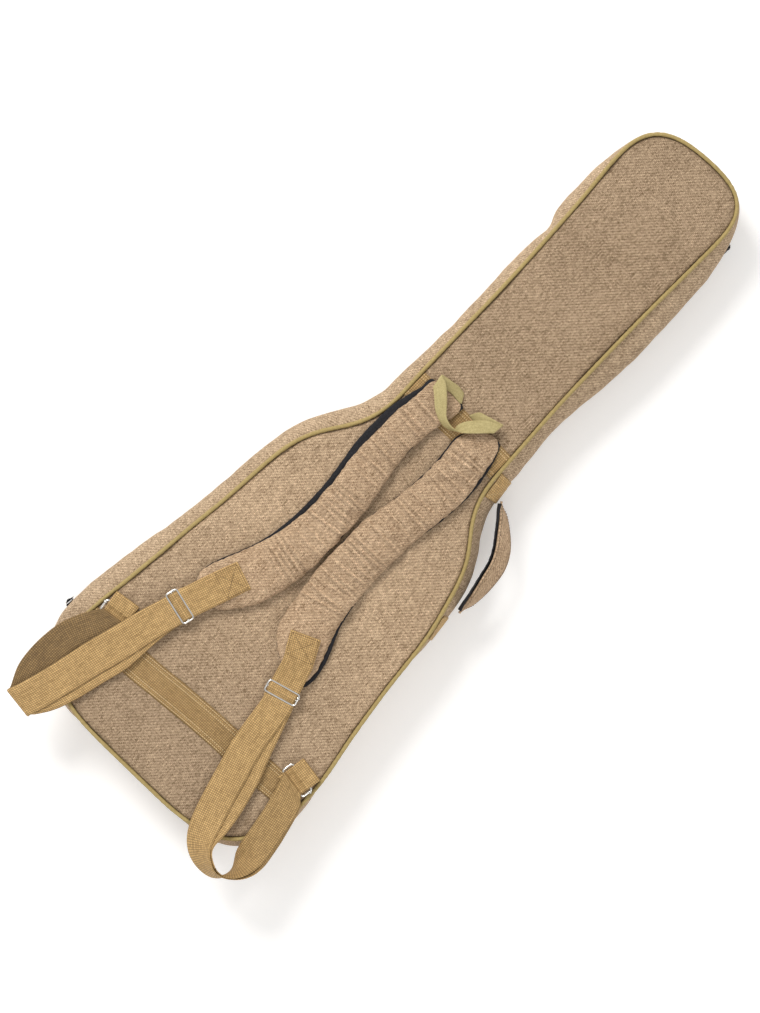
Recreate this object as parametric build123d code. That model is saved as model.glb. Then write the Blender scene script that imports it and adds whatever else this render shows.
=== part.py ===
from build123d import *
import math
import os

# Padded gig bag for an electric guitar, lying on its front.  Millimetres.
# +Z is the normal of the back panel, which carries the backpack straps.
# +Y runs to the head end, x = 0 is the centre line, and left is -X.
# z = 0 is the flat outer face of the two front pockets, on which the bag lies.

os.makedirs("parts", exist_ok=True)

# ---- Outlines: (x, y), anticlockwise
# widest outline of the side wall, the bulge at BULGE_Z
BULGE = [
    (0, -240), (55, -240), (107, -240), (149.5, -228.6), (180.6, -197.5), (192, -157),
    (191, -125), (186, -92), (181, -62), (176.5, -33), (171, -3), (166.5, 26), (163.5, 56),
    (161.8, 85), (160.6, 115), (158.6, 144), (154.6, 180), (146.9, 213), (131.5, 246),
    (113, 272), (99.5, 298), (96, 322), (94.5, 351), (92.4, 381), (90.2, 410), (90.2, 440),
    (92.4, 469), (96, 499), (98.6, 528), (100, 572), (100, 631), (98.3, 676), (94, 705),
    (87, 737), (77, 764), (67, 780), (47, 794), (0, 800), (-50, 794), (-74, 780),
    (-86, 764), (-93.4, 735), (-97, 705), (-98, 676), (-96.6, 646), (-94, 615),
    (-92.6, 572), (-93.2, 543), (-92.4, 513), (-92, 484), (-91.8, 454), (-92.2, 425),
    (-93.5, 395), (-95.6, 366), (-96.5, 330), (-98.5, 307), (-106, 281), (-118, 260),
    (-131, 240), (-141, 218), (-147.5, 200), (-153, 174), (-157, 144), (-159.2, 115),
    (-161.6, 85), (-164.6, 56), (-169, 26), (-174.5, -3), (-180, -33), (-185, -62),
    (-189.7, -92), (-192.5, -121), (-191.5, -157), (-180.6, -197.5), (-149.5, -228.6),
    (-107, -240), (-55, -240),
]
# seam of the back panel, where the piping lies
SEAM = [
    (0, -238.4), (50, -238.4), (81, -238), (103.7, -234.6), (142.7, -223), (162, -206),
    (179, -178), (186, -140), (186, -110), (182.9, -74), (178.8, -54), (174.7, -32),
    (170.7, -9.5), (167.8, 14), (164.8, 35), (161.8, 56), (160, 80), (157.4, 106), (155, 129),
    (149.7, 155), (144.8, 172), (139.9, 193), (133.6, 214), (124.6, 235), (113, 251),
    (100, 265), (88.5, 281), (81.5, 297), (78, 315), (77, 337), (76.4, 357), (75.2, 378),
    (74.2, 400), (73, 424), (71.6, 455), (71.4, 480), (71, 520), (70.8, 560), (71, 592),
    (71.2, 617), (71.7, 641), (72.5, 665), (72.8, 690), (73.4, 714), (73.6, 739),
    (72.4, 757), (67.2, 773), (57, 785.5), (44, 792), (27, 795), (6.5, 795.4), (-16, 794.6),
    (-38.7, 792.2), (-58, 787), (-72, 779), (-81.5, 769), (-88, 754), (-90, 734),
    (-89, 709), (-86.3, 680), (-84.2, 653), (-83, 628), (-81.8, 601), (-80.4, 570),
    (-79, 520), (-78.2, 485), (-78.4, 455), (-78.4, 428), (-78, 401), (-78, 375),
    (-78, 352), (-76.5, 329), (-75.8, 307), (-79.5, 284), (-89, 264), (-101, 247),
    (-113.5, 230), (-124.5, 211), (-132, 190), (-136.8, 164), (-139, 137), (-141, 109),
    (-143.2, 82), (-146, 56), (-148.6, 40), (-151.4, 12), (-153.4, -11), (-156, -33),
    (-158.6, -55), (-161, -78), (-164, -100), (-166.9, -121), (-167.5, -148), (-163, -177),
    (-150, -205), (-128, -225), (-101.7, -234.4), (-77, -237.6), (-40, -238.4),
]
OUTLINE_POINTS = 72
FRONT_IN = 6.0            # front outline lies this far inside the bulge

# ---- Layers
PANEL_FABRIC = 2.0        # woven canvas with its backing
PANEL_FOAM = 8.0
GUSSET_FOAM = 6.0         # foam in the side walls
LINING = 1.0
GAP = 0.2                 # between the layers
WALL_LINING_IN = PANEL_FABRIC + GUSSET_FOAM + 2 * GAP
PIPING_R = 2.4            # half the side of the square piping section
PIPING_SET = 1.2          # piping centre lies this far in from the panel face

# ---- Levels through the thickness
POCKET_T = 12.0           # pockets stand this far off the front panel
ZIP_Z = 36.0              # the plane in which the bag opens
FRONT_RIM = ZIP_Z - 0.1
BACK_RIM = ZIP_Z + 0.1
ZIP_FLAT = 44.0           # side wall is upright up to here, for the zip tape
BULGE_Z = 62.0            # widest level of the side wall
BACK_Z = 90.0             # outer face of the back panel
WALL_LOW = 15.8           # bottom of the side wall, over the front piping
WALL_TOP = 85.8           # top of the side wall, under the back piping

# ---- Webbing, shared by bands, straps and tabs
WEB_W = 38.0
WEB_T = 1.5
BAND_Z0 = BACK_Z + 0.1
BAND_Z1 = BAND_Z0 + WEB_T


# ---- Outline tools
def dense(points, per=14, closed=True):
    """Catmull-Rom curve through the points, with `per` steps to each span."""
    n = len(points)
    curve = []
    for i in range(n if closed else n - 1):
        if closed:
            span = points[i - 1], points[i], points[(i + 1) % n], points[(i + 2) % n]
        else:
            span = points[max(i - 1, 0)], points[i], points[i + 1], points[min(i + 2, n - 1)]
        for k in range(per):
            t = k / per
            curve.append(tuple(
                0.5 * (2 * b + (c - a) * t
                       + (2 * a - 5 * b + 4 * c - d) * t * t
                       + (3 * b - a - 3 * c + d) * t ** 3) for a, b, c, d in zip(*span)))
    if not closed:
        curve.append(tuple(float(value) for value in points[-1]))
    return curve


def resample(points, count, closed=True):
    """The curve through the points, as `count` points at equal steps of length."""
    curve = dense(points, closed=closed)
    if closed:
        curve = curve + [curve[0]]
    run = [0.0]
    for start, end in zip(curve, curve[1:]):
        run.append(run[-1] + math.dist(start, end))
    steps = count if closed else count - 1
    even, j = [], 0
    for i in range(count):
        target = run[-1] * i / steps
        while j < len(run) - 2 and run[j + 1] < target:
            j += 1
        share = (target - run[j]) / max(run[j + 1] - run[j], 1e-9)
        even.append(tuple(a + (b - a) * share for a, b in zip(curve[j], curve[j + 1])))
    return even


def smooth(points):
    """One 1-2-1 averaging pass round a closed outline."""
    n = len(points)
    return [tuple((a + 2 * b + c) / 4
                  for a, b, c in zip(points[i - 1], points[i], points[(i + 1) % n]))
            for i in range(n)]


def nearest(points, target):
    """For each point, the nearest point of the target outline."""
    curve = dense(target, 40)
    return [min(curve, key=lambda q: (q[0] - p[0]) ** 2 + (q[1] - p[1]) ** 2) for p in points]


def heading(points, i, closed=True):
    """Unit direction of travel in plan at point i."""
    n = len(points)
    if closed:
        before, after = points[i - 1], points[(i + 1) % n]
    else:
        before, after = points[max(i - 1, 0)], points[min(i + 1, n - 1)]
    dx, dy = after[0] - before[0], after[1] - before[1]
    length = math.hypot(dx, dy)
    return dx / length, dy / length


def inset(points, distance, closed=True):
    """Points moved to the left of travel: inwards on an anticlockwise outline."""
    moved = []
    for i, (x, y) in enumerate(points):
        along_x, along_y = heading(points, i, closed)
        moved.append((x - along_y * distance, y + along_x * distance))
    return moved


# ---- Solid tools
def wire(points, z):
    knots = [float(i) for i in range(len(points) + 1)]
    return Wire([Edge.make_spline([Vector(x, y, z) for x, y in points],
                                  periodic=True, parameters=knots)])


def plate(points, z0, z1):
    return Solid.extrude(Face(wire(points, z0)), Vector(0, 0, z1 - z0))


def band(outline, outer_inset, inner_inset, z0, z1):
    """Upright ring between two insets of an outline."""
    outer, inner = wire(inset(outline, outer_inset), z0), wire(inset(outline, inner_inset), z0)
    return Solid.extrude(Face(outer, [inner]), Vector(0, 0, z1 - z0))


def prism(points, z0, height):
    """Straight-sided polygon, extruded upwards."""
    outline = Wire.make_polygon([Vector(x, y, z0) for x, y in points], close=True)
    return Solid.extrude(Face(outline), Vector(0, 0, height))


def box(x0, x1, y0, y1, z0, z1):
    return Solid.make_box(x1 - x0, y1 - y0, z1 - z0).locate(Location((x0, y0, z0)))


def rod(start, end, radius):
    axis = Vector(*end) - Vector(*start)
    return Solid.make_cylinder(radius, axis.length, Plane(origin=Vector(*start), z_dir=axis))


def stations(path, count, tilt, side):
    """Point, across direction and up direction at even steps along a path."""
    points = resample(path, count, closed=False)
    for i, point in enumerate(points):
        angle = math.radians(tilt(i / (count - 1)))
        cos, sin = math.cos(angle), math.sin(angle)
        along_x, along_y = heading(points, i, closed=False)
        normal_x, normal_y = along_y * side, -along_x * side
        yield (point, (normal_x * cos, normal_y * cos, -sin),
               (normal_x * sin, normal_y * sin, cos))


def strip(path, width, thick, count=16, tilt=lambda share: 0.0, side=1.0):
    """Flat band along the centre line of its lower face, path of (x, y, z).

    tilt gives degrees at a share of the length; side 1 leans it to the right of travel.
    """
    half = width / 2
    corners = ((-half, 0), (half, 0), (half, thick), (-half, thick))
    wires = []
    for point, across, up in stations(path, count, tilt, side):
        wires.append(Wire.make_polygon(
            [Vector(*(point[c] + across[c] * u + up[c] * v for c in range(3)))
             for u, v in corners], close=True))
    return Solid.make_loft(wires, ruled=True)


def single(shape):
    """The largest solid of a shape."""
    return max(shape.solids(), key=lambda solid: solid.volume)


def place(shape, at):
    """Shape moved to (x, y, z, turn about Z in degrees)."""
    x, y, z, turn = at
    return shape.moved(Location((x, y, z), (0, 0, turn)))


def save(name, shape):
    solid = single(shape)
    solid.label = name
    export_step(solid, "parts/" + name + ".step")


bulge = resample(BULGE, OUTLINE_POINTS)
seam = smooth(smooth(nearest(bulge, SEAM)))
front = inset(bulge, FRONT_IN)

# ---- Panels and piping: fabric outside, then foam, then lining
FABRIC_CLEAR = 0.2        # fabric edge to piping
PADDING_CLEAR = 0.4       # foam and lining edges to piping

front_foam_z = POCKET_T + PANEL_FABRIC + GAP
front_lining_z = front_foam_z + PANEL_FOAM + GAP
front_inside_z = front_lining_z + LINING + GAP
back_fabric_z = BACK_Z - PANEL_FABRIC
back_foam_z = back_fabric_z - GAP - PANEL_FOAM
back_lining_z = back_foam_z - GAP - LINING
back_inside_z = back_lining_z - GAP


def panel(side, outline, fabric_z, foam_z, lining_z, piping_z):
    """Layers of one panel from their lower levels, and piping about its centre level."""
    cloth = inset(outline, PIPING_R + FABRIC_CLEAR)
    padding = inset(outline, PIPING_R + PADDING_CLEAR)
    save(side + "_panel", plate(cloth, fabric_z, fabric_z + PANEL_FABRIC))
    save(side + "_foam", plate(padding, foam_z, foam_z + PANEL_FOAM))
    save(side + "_lining", plate(padding, lining_z, lining_z + LINING))
    save(side + "_piping", band(outline, -PIPING_R, PIPING_R,
                                piping_z - PIPING_R, piping_z + PIPING_R))


panel("front", front, POCKET_T, front_foam_z, front_lining_z, POCKET_T + PIPING_SET)
panel("back", seam, back_fabric_z, back_foam_z, back_lining_z, BACK_Z - PIPING_SET)

# ---- Front side wall, upright
save("front_wall", band(front, 0.0, PANEL_FABRIC, WALL_LOW, FRONT_RIM))
save("front_wall_foam", band(front, PANEL_FABRIC + GAP, PANEL_FABRIC + GAP + GUSSET_FOAM,
                             front_inside_z, FRONT_RIM))
save("front_wall_lining", band(front, WALL_LINING_IN, WALL_LINING_IN + LINING,
                               front_inside_z, FRONT_RIM))


# ---- Back side wall: out to the bulge, then in to the panel seam
def back_wall(outer_inset, inner_inset, top_z):
    rise = (top_z - BULGE_Z) / (WALL_TOP - BULGE_Z)

    def body(distance):
        foot, wide = inset(front, distance), inset(bulge, distance)
        top = [(a[0] + (b[0] - a[0]) * rise, a[1] + (b[1] - a[1]) * rise)
               for a, b in zip(wide, inset(seam, distance))]
        return Solid.make_loft([wire(foot, BACK_RIM), wire(foot, ZIP_FLAT),
                                wire(wide, BULGE_Z), wire(top, top_z)], ruled=True)
    return body(outer_inset).cut(body(inner_inset))


save("back_wall", back_wall(0.0, PANEL_FABRIC, WALL_TOP))
save("back_wall_foam", back_wall(PANEL_FABRIC + 2 * GAP, PANEL_FABRIC + GUSSET_FOAM,
                                 back_inside_z))
save("back_wall_lining", back_wall(WALL_LINING_IN, WALL_LINING_IN + LINING, back_inside_z))

# ---- Main zip: tape and coil round each shell, absent at the fabric hinge on the right
TAPE_OUT = 0.2            # tape stands this far off the wall
TAPE_T = 1.0
TAPE_W = 8.5              # height of the front tape
COIL_OUT = TAPE_OUT + TAPE_T + 0.2
COIL_T = 1.8
COIL_H = 2.0
HINGE_Y = (-150.0, 75.0)
hinge_gap = box(120, 230, *HINGE_Y, 20, 60)


def zip_band(out, thick, z0, z1):
    return band(front, -(out + thick), -out, z0, z1).cut(hinge_gap)


save("front_zip_tape", zip_band(TAPE_OUT, TAPE_T, FRONT_RIM - TAPE_W, FRONT_RIM))
save("back_zip_tape", zip_band(TAPE_OUT, TAPE_T, BACK_RIM, ZIP_FLAT))
save("front_zip_coil", zip_band(COIL_OUT, COIL_T, FRONT_RIM - COIL_H, FRONT_RIM))
save("back_zip_coil", zip_band(COIL_OUT, COIL_T, BACK_RIM, BACK_RIM + COIL_H))

# ---- Zip sliders and pulls, built with +Y as the outward side
SLIDER_CLEAR = 0.3        # slider to outline
SLIDER_MARGIN = 9         # the outline is cleared this far past both ends of the travel


def rail(outline, start_y, end_y, right):
    """Start of a straight run beside an outline: x, y, turn and whether to mirror."""
    points = [p for p in dense(outline, 10) if (p[0] > 0) == right]
    start = min(points, key=lambda p: abs(p[1] - start_y))
    end = min(points, key=lambda p: abs(p[1] - end_y))
    length = math.dist(start, end)
    along_x, along_y = (end[0] - start[0]) / length, (end[1] - start[1]) / length
    # where outwards is to the right of travel, the slider is mirrored
    mirrored = (along_y > 0) == right
    out_x, out_y = (along_y, -along_x) if mirrored else (-along_y, along_x)
    low = min(start_y, end_y) - SLIDER_MARGIN
    high = max(start_y, end_y) + SLIDER_MARGIN
    reach = max((x - start[0]) * out_x + (y - start[1]) * out_y
                for x, y in points if low <= y <= high) + SLIDER_CLEAR
    turn = math.degrees(math.atan2(along_y, along_x))
    return start[0] + out_x * reach, start[1] + out_y * reach, turn, mirrored


def seat(shape, run, z):
    """Shape set at the start of a rail."""
    x, y, turn, mirrored = run
    if mirrored:
        shape = shape.mirror(Plane.XZ)
    return place(single(shape), (x, y, z, turn))


def main_slider_body():
    body = box(-6, 6, 0, 2.4, -5.5, 5.5)
    body = body.fillet(1.0, body.edges().filter_by(Axis.Z))
    lug = box(-2.5, 2.5, 2.3, 3.8, 0.5, 5)
    return body.fuse(lug)


def main_slider_tag():
    tag = box(-4, 4, 4.2, 5.6, -27, 1)
    return tag.fillet(2.5, tag.edges().filter_by(Axis.Y))


coil_line = inset(front, -(COIL_OUT + COIL_T))
# name, y at the start and end of the travel, on the right
for letter, start_y, end_y, right in (("a", -146, -46, False), ("b", 742, 678, True)):
    run = rail(coil_line, start_y, end_y, right)
    save("zip_slider_" + letter, seat(main_slider_body(), run, ZIP_Z))
    save("zip_pull_" + letter, seat(main_slider_tag(), run, ZIP_Z))

# ---- Pockets on the front
POCKET_IN = 13.0          # pocket outline inside the front outline
MAIN_POCKET_TOP = 250.0
HEAD_POCKET_LOW = 600.0
POCKET_SKIN = 1.6
TAIL_END, HEAD_END = -300, 900            # y beyond both ends of the bag
POCKET_ZIP_INSETS = (-1.4, -0.2)          # outer and inner face
POCKET_ZIP_Z = (4.2, 8.6)
pocket = inset(front, POCKET_IN)
pocket_zip_band = band(pocket, *POCKET_ZIP_INSETS, *POCKET_ZIP_Z)
pocket_zip_line = inset(pocket, POCKET_ZIP_INSETS[0])


def pocket_slab(y0, y1, x0=-260, x1=260):
    return box(x0, x1, y0, y1, -5, 20)


def pocket_shell(name, beyond, cavity):
    """Panel and wall; `beyond` is the y range cut off, `cavity` that of the hollow."""
    cut = pocket_slab(*beyond)
    save(name + "_panel", plate(pocket, 0, POCKET_SKIN).cut(cut))
    outer = plate(pocket, POCKET_SKIN + GAP, POCKET_T - GAP).cut(cut)
    inner = plate(inset(pocket, POCKET_SKIN), POCKET_SKIN, POCKET_T)
    inner = inner.intersect(pocket_slab(*cavity))
    save(name + "_wall", outer.cut(single(inner)))


def pocket_slider(name, start_y, end_y, right):
    run = rail(pocket_zip_line, start_y, end_y, right)
    middle = sum(POCKET_ZIP_Z) / 2
    save(name + "_slider", seat(box(-4.5, 4.5, 0, 2.4, -3, 3), run, middle))
    save(name + "_pull", seat(box(-24, 0, 2.8, 4, -2.5, 2.5), run, middle))


pocket_shell("main_pocket", (MAIN_POCKET_TOP, HEAD_END),
             (TAIL_END, MAIN_POCKET_TOP - POCKET_SKIN))
pocket_shell("head_pocket", (TAIL_END, HEAD_POCKET_LOW),
             (HEAD_POCKET_LOW + POCKET_SKIN, HEAD_END))
save("main_pocket_zip", pocket_zip_band.intersect(pocket_slab(-120, 235, x1=0)))
save("head_pocket_zip", pocket_zip_band.intersect(pocket_slab(625, 745, x0=0)))
pocket_slider("main_pocket", 26, -100, False)
pocket_slider("head_pocket", 640, 690, True)

# ---- Webbing bands across the back panel: corners (x, y), trimmed inside the piping
BANDS = {
    "lower_band": [(-131, -156.5), (-86, -158.6), (7, -153), (78.5, -149), (124, -147),
                   (174, -143), (176, -106), (118, -110), (26, -111), (-83, -120),
                   (-157, -124), (-158, -150)],
    "upper_band": [(-73.5, 327), (72.5, 327), (73, 365), (-74, 365)],
}
inside_piping = plate(inset(seam, PIPING_R + 0.6), BAND_Z0 - 1, BAND_Z1 + 1)
for name, corners in BANDS.items():
    save(name, prism(corners, BAND_Z0, WEB_T).intersect(inside_piping))

# ---- Backpack straps: padded part, outline (x, y)
PADS = {
    "left": [
        (-59, 367), (-61, 347), (-66, 322), (-71, 300), (-74, 281), (-74.5, 258),
        (-72.5, 234), (-70.5, 209), (-68.5, 186), (-67.5, 163), (-67.5, 137), (-69.5, 112),
        (-73, 91), (-79.5, 69), (-87.5, 48), (-97, 28), (-102, 11), (-103, -3), (-98, -17),
        (-86, -25), (-70, -27), (-57, -22), (-45, -12), (-33, 4), (-23, 23), (-15, 46),
        (-9.5, 72), (-6.4, 100), (-5.2, 130), (-5.6, 153), (-6.6, 178), (-9.4, 202),
        (-14.5, 231), (-18.4, 256), (-20, 280), (-18.6, 303), (-15.5, 325), (-11, 347),
        (-10, 361), (-12, 366),
    ],
    "right": [
        (37, 366), (45, 367), (53, 366), (58.5, 358), (62.5, 340), (66.5, 320), (69.5, 300),
        (70.6, 279), (69, 256), (65.6, 230), (62, 205), (60.4, 180), (60, 151), (60, 122),
        (62.6, 97), (65.4, 72), (70, 53), (75.8, 37), (81, 24), (86, 10), (88.6, -8),
        (83, -21), (72, -26), (58, -23), (45, -16), (33, -8.5), (23, 0), (14, 13), (8.2, 28),
        (4.6, 46), (2, 66), (-0.5, 86), (-3, 104), (-4.2, 124), (-4, 150), (-3.4, 176),
        (1, 203), (7.4, 232), (11.4, 264), (12.2, 286), (11, 308), (8, 334), (12, 344),
        (25, 356),
    ],
}
PAD_POINTS = 64
PAD_Z0 = BAND_Z1 + 0.4    # underside of the mesh backing
BACKING_T = 1.5
COVER_Z0 = PAD_Z0 + BACKING_T + 0.1
PAD_Z1 = 107.0            # top of the pads
COVER_IN = 2.5            # cover inside the backing outline
PAD_SKIN = 1.5
PAD_END_Y = 345.0         # pads are stitched flat above this line
PAD_END_T = 3.0


def pad_end(y, z):
    """Everything past y and above z at the head end of a pad."""
    return box(-200, 200, y, 500, z, 200)


def pad(side):
    base = resample(PADS[side], PAD_POINTS)
    twice_area = sum(base[i - 1][0] * base[i][1] - base[i][0] * base[i - 1][1]
                     for i in range(PAD_POINTS))
    if twice_area < 0:    # clockwise
        base = base[::-1]
    save(side + "_pad_backing", plate(base, PAD_Z0, PAD_Z0 + BACKING_T))

    trim = inset(base, COVER_IN)
    shell = plate(trim, COVER_Z0, PAD_Z1)
    shell = shell.cut(pad_end(PAD_END_Y, COVER_Z0 + PAD_END_T))
    core = plate(inset(trim, PAD_SKIN), COVER_Z0 - 1, PAD_Z1 - PAD_SKIN)
    core = core.cut(pad_end(PAD_END_Y - PAD_SKIN, COVER_Z0 - 5))
    save(side + "_pad_cover", shell.cut(core))

    foam = plate(inset(trim, PAD_SKIN + GAP), COVER_Z0, PAD_Z1 - PAD_SKIN - GAP)
    save(side + "_pad_foam", foam.cut(pad_end(PAD_END_Y - PAD_SKIN - GAP, COVER_Z0 - 5)))


# ---- Strap webbing and wire hardware
# centre line (x, y, z) of the tab from each pad to its glide
TABS = {
    "left": [(-60.5, 33, 107.4), (-70, 4, 107.4), (-78, -20, 107.4), (-82, -32, 107.2),
             (-86, -43, 104.8)],
    "right": [(44.5, 33, 107.4), (56, 4, 107.4), (64, -18, 107.4), (68.5, -31, 107.2),
              (72, -41, 104.8)],
}
# centre lines (x, y) of the leg from the glide and of the leg returning to the ring
FRONT_LEGS = {
    "left": [(-89, -42), (-94, -63), (-107, -119), (-119, -171), (-137, -234), (-147, -266)],
    "right": [(73, -42), (78, -64), (85, -112), (94.5, -151), (106, -192), (116, -222),
              (130, -244)],
}
RETURN_LEGS = {
    "left": [(-144, -126), (-153, -148), (-163, -176), (-167.5, -206), (-166, -232),
             (-158, -256)],
    "right": [(165, -119), (170.5, -138), (175.5, -165), (181, -198), (183, -222), (176, -246)],
}
FRONT_LEG_Z = 97.4
RETURN_Z = 92.1
RETURN_W = WEB_W - 2.0
LEG_T = 3.2               # two layers of webbing
# x, y, z, turn in degrees
GLIDES = {"left": (-91.0, -50.5, 102.4, -14.0), "right": (72.5, -39.5, 102.4, 15.0)}
RINGS = {"left": (-141.0, -103.5, 95.4, 8.0), "right": (162.0, -97.0, 95.4, -9.0)}
GLIDE_W, GLIDE_L = 42.0, 15.0
RING_W, RING_L = 41.0, 15.0
WIRE_R = 1.3
TAB_W = 33.0
TAB_LEN = 15.0
RETURN_LEAF = 8.0         # flat part joining the return leg to its sleeve
SLEEVE_IN = WIRE_R + 0.3  # webbing wrapped round a wire
SLEEVE_OUT = SLEEVE_IN + WEB_T


def level(path, z):
    return [(x, y, z) for x, y in path]


def wire_frame(width, length, radius, centre_bar=False):
    """Rectangular wire frame, origin at the middle of its upper bar."""
    corners = [(-width / 2, 0, 0), (width / 2, 0, 0),
               (width / 2, -length, 0), (-width / 2, -length, 0)]
    pieces = []
    for i, corner in enumerate(corners):
        pieces.append(rod(corner, corners[(i + 1) % 4], radius))
        pieces.append(Solid.make_sphere(radius, angle1=-90, angle2=90, angle3=360)
                      .locate(Location(corner)))
    if centre_bar:
        pieces.append(rod((-width / 2, -length / 2, 0), (width / 2, -length / 2, 0),
                          radius * 0.85))
    body = pieces[0]
    for piece in pieces[1:]:
        body = body.fuse(piece)
    return single(body)


def cross_rod(half, y, radius):
    return rod((-half, y, 0), (half, y, 0), radius)


below_band = box(-300, 300, -400, 400, 0, BAND_Z1 + 0.2)
left_leg_room = strip(level(FRONT_LEGS["left"], FRONT_LEG_Z - 0.4), WEB_W + 1, 8)


def clear_of_others(shape, side):
    """Webbing cut clear of the band below it and, on the left, of the front leg."""
    shape = single(shape.cut(below_band))
    if side == "left":
        shape = single(shape.cut(left_leg_room))
    return shape


def anchor_tab(side):
    """Sleeve round the upper bar of the ring, with a leaf towards the head end."""
    sleeve = cross_rod(TAB_W / 2, 0, SLEEVE_OUT)
    leaf_z = -SLEEVE_OUT + 0.05
    leaf = box(-TAB_W / 2, TAB_W / 2, 0, TAB_LEN, leaf_z, leaf_z + WEB_T * 2)
    tab = single(sleeve.fuse(leaf).cut(cross_rod(60, 0, SLEEVE_IN)))
    return clear_of_others(place(tab, RINGS[side]), side)


def return_leg(side):
    """Leg under the front leg, with a sleeve round the lower bar of the ring."""
    at = RINGS[side]
    body = strip(level(RETURN_LEGS[side], RETURN_Z), RETURN_W, LEG_T, count=14)
    sleeve = cross_rod(TAB_W / 2, -RING_L, SLEEVE_OUT)
    leaf_z = RETURN_Z - at[2]
    leaf = box(-TAB_W / 2, TAB_W / 2, -RING_L - RETURN_LEAF, -RING_L, leaf_z, leaf_z + LEG_T)
    whole = single(body.fuse(place(sleeve.fuse(leaf), at)))
    whole = single(whole.cut(place(cross_rod(60, -RING_L, SLEEVE_IN), at)))
    whole = single(whole.cut(place(wire_frame(RING_W, RING_L, WIRE_R + 0.35), at)))
    return clear_of_others(whole, side)


for side in ("left", "right"):
    pad(side)
    save(side + "_tab", strip(TABS[side], WEB_W, WEB_T, count=10))
    save(side + "_webbing", strip(level(FRONT_LEGS[side], FRONT_LEG_Z), WEB_W, LEG_T))
    glide = place(wire_frame(GLIDE_W, GLIDE_L, WIRE_R, centre_bar=True), GLIDES[side])
    save(side + "_glide", glide.moved(Location((0, GLIDE_L / 2, 0))))
    save(side + "_anchor_tab", anchor_tab(side))
    save(side + "_ring", place(wire_frame(RING_W, RING_L, WIRE_R), RINGS[side]))
    save(side + "_webbing_return", return_leg(side))

# ---- Carry handle on the right shoulder: centre line (x, y, z)
HANDLE = [
    (102.5, 316, 62), (108, 309, 63), (118, 300.5, 65), (132, 287, 67), (145, 272, 68.5),
    (153.5, 255, 69), (157, 236, 69), (159, 216, 68.5), (159.5, 199, 66), (159.5, 190, 63),
    (160.5, 181, 62),
]
HANDLE_W = 30.0
HANDLE_T = 7.0
HANDLE_TILT = 45.0        # degrees, at the middle
HANDLE_STATIONS = 18
HANDLE_LINING_T = 1.2
HANDLE_LINING_SET = 1.5   # underside of the lining below the cover


def handle_tilt(share):
    """Upright at both stitched ends, leaning in the middle."""
    return 90.0 - (90.0 - HANDLE_TILT) * math.sin(math.pi * share)


def handle_strip(path, width, thick):
    return strip(path, width, thick, count=HANDLE_STATIONS, tilt=handle_tilt, side=-1.0)


save("handle_cover", handle_strip(HANDLE, HANDLE_W, HANDLE_T))
lining_path = [tuple(p - u * HANDLE_LINING_SET for p, u in zip(point, up))
               for point, across, up in stations(HANDLE, HANDLE_STATIONS, handle_tilt, -1.0)]
save("handle_lining", handle_strip(lining_path, HANDLE_W - 2, HANDLE_LINING_T))

# patches on the side wall at the two ends of the handle
patch_band = band(bulge, -1.4, -0.3, 46, 76)
save("handle_patch_upper", patch_band.intersect(box(60, 130, 306, 345, 40, 85)))
save("handle_patch_lower", patch_band.intersect(box(100, 200, 132, 170, 40, 85)))

# ---- Hang loop of tape on edge, headwards of the upper band: centre line (x, y)
LOOP = [
    (-13, 378.6), (-36, 379.4), (-52, 382), (-56, 386), (-50, 390), (-30, 392.6), (-5, 393.4),
    (20, 392.6), (36, 390), (41, 386), (36, 382), (22, 379.4), (5, 378.6),
]
LOOP_T = 1.4
LOOP_W = 18.0
LOOP_Z = 91.0
loop_line = resample(LOOP, 40, closed=False)
loop_left = inset(loop_line, LOOP_T / 2, closed=False)
loop_right = inset(loop_line, -LOOP_T / 2, closed=False)
save("hang_loop", prism(loop_left + loop_right[::-1], LOOP_Z, LOOP_W))

# ---- Inside, under the back lining: neck rest, its strap and the bumper at the tail
REST_W, REST_L, REST_H = 100.0, 44.0, 21.0
REST_Y = 320.0
REST_SLOT = 62.0          # width of the neck slot
REST_FLOOR = 6            # foam left between the slot and the back
REST_STRAP_W = 24
BUMPER_W, BUMPER_L, BUMPER_H = 170.0, 12.0, 34.0
BUMPER_Y = -222
inside_top = back_lining_z - 0.3
rest_z = inside_top - REST_H

rest = box(-REST_W / 2, REST_W / 2, REST_Y - REST_L / 2, REST_Y + REST_L / 2,
           rest_z, inside_top)
slot = box(-REST_SLOT / 2, REST_SLOT / 2, REST_Y - REST_L, REST_Y + REST_L,
           rest_z - 1, inside_top - REST_FLOOR)
save("neck_rest", rest.cut(slot))
save("neck_strap", box(-REST_W / 2, REST_W / 2, REST_Y - REST_STRAP_W / 2,
                       REST_Y + REST_STRAP_W / 2, rest_z - 1.8, rest_z - 0.3))
save("tail_bumper", box(-BUMPER_W / 2, BUMPER_W / 2, BUMPER_Y, BUMPER_Y + BUMPER_L,
                        inside_top - BUMPER_H, inside_top))
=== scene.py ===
"""A padded, waisted case with two shoulder straps, lying face down.

Lengths are millimetres in the frame of the case; mesh_object() turns them into metres.
x runs across the case (left is negative), y runs from the broad end (-240) to the narrow
end (800), and z points up: the front panel lies near z 12, with pockets below it down to
the floor, the zip runs round the side at z 36, and the back panel lies near z 90 with the
straps on top of it.
"""
import math
from contextlib import contextmanager

import bpy
import bmesh
import numpy as np
from mathutils import Matrix, Vector


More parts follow.
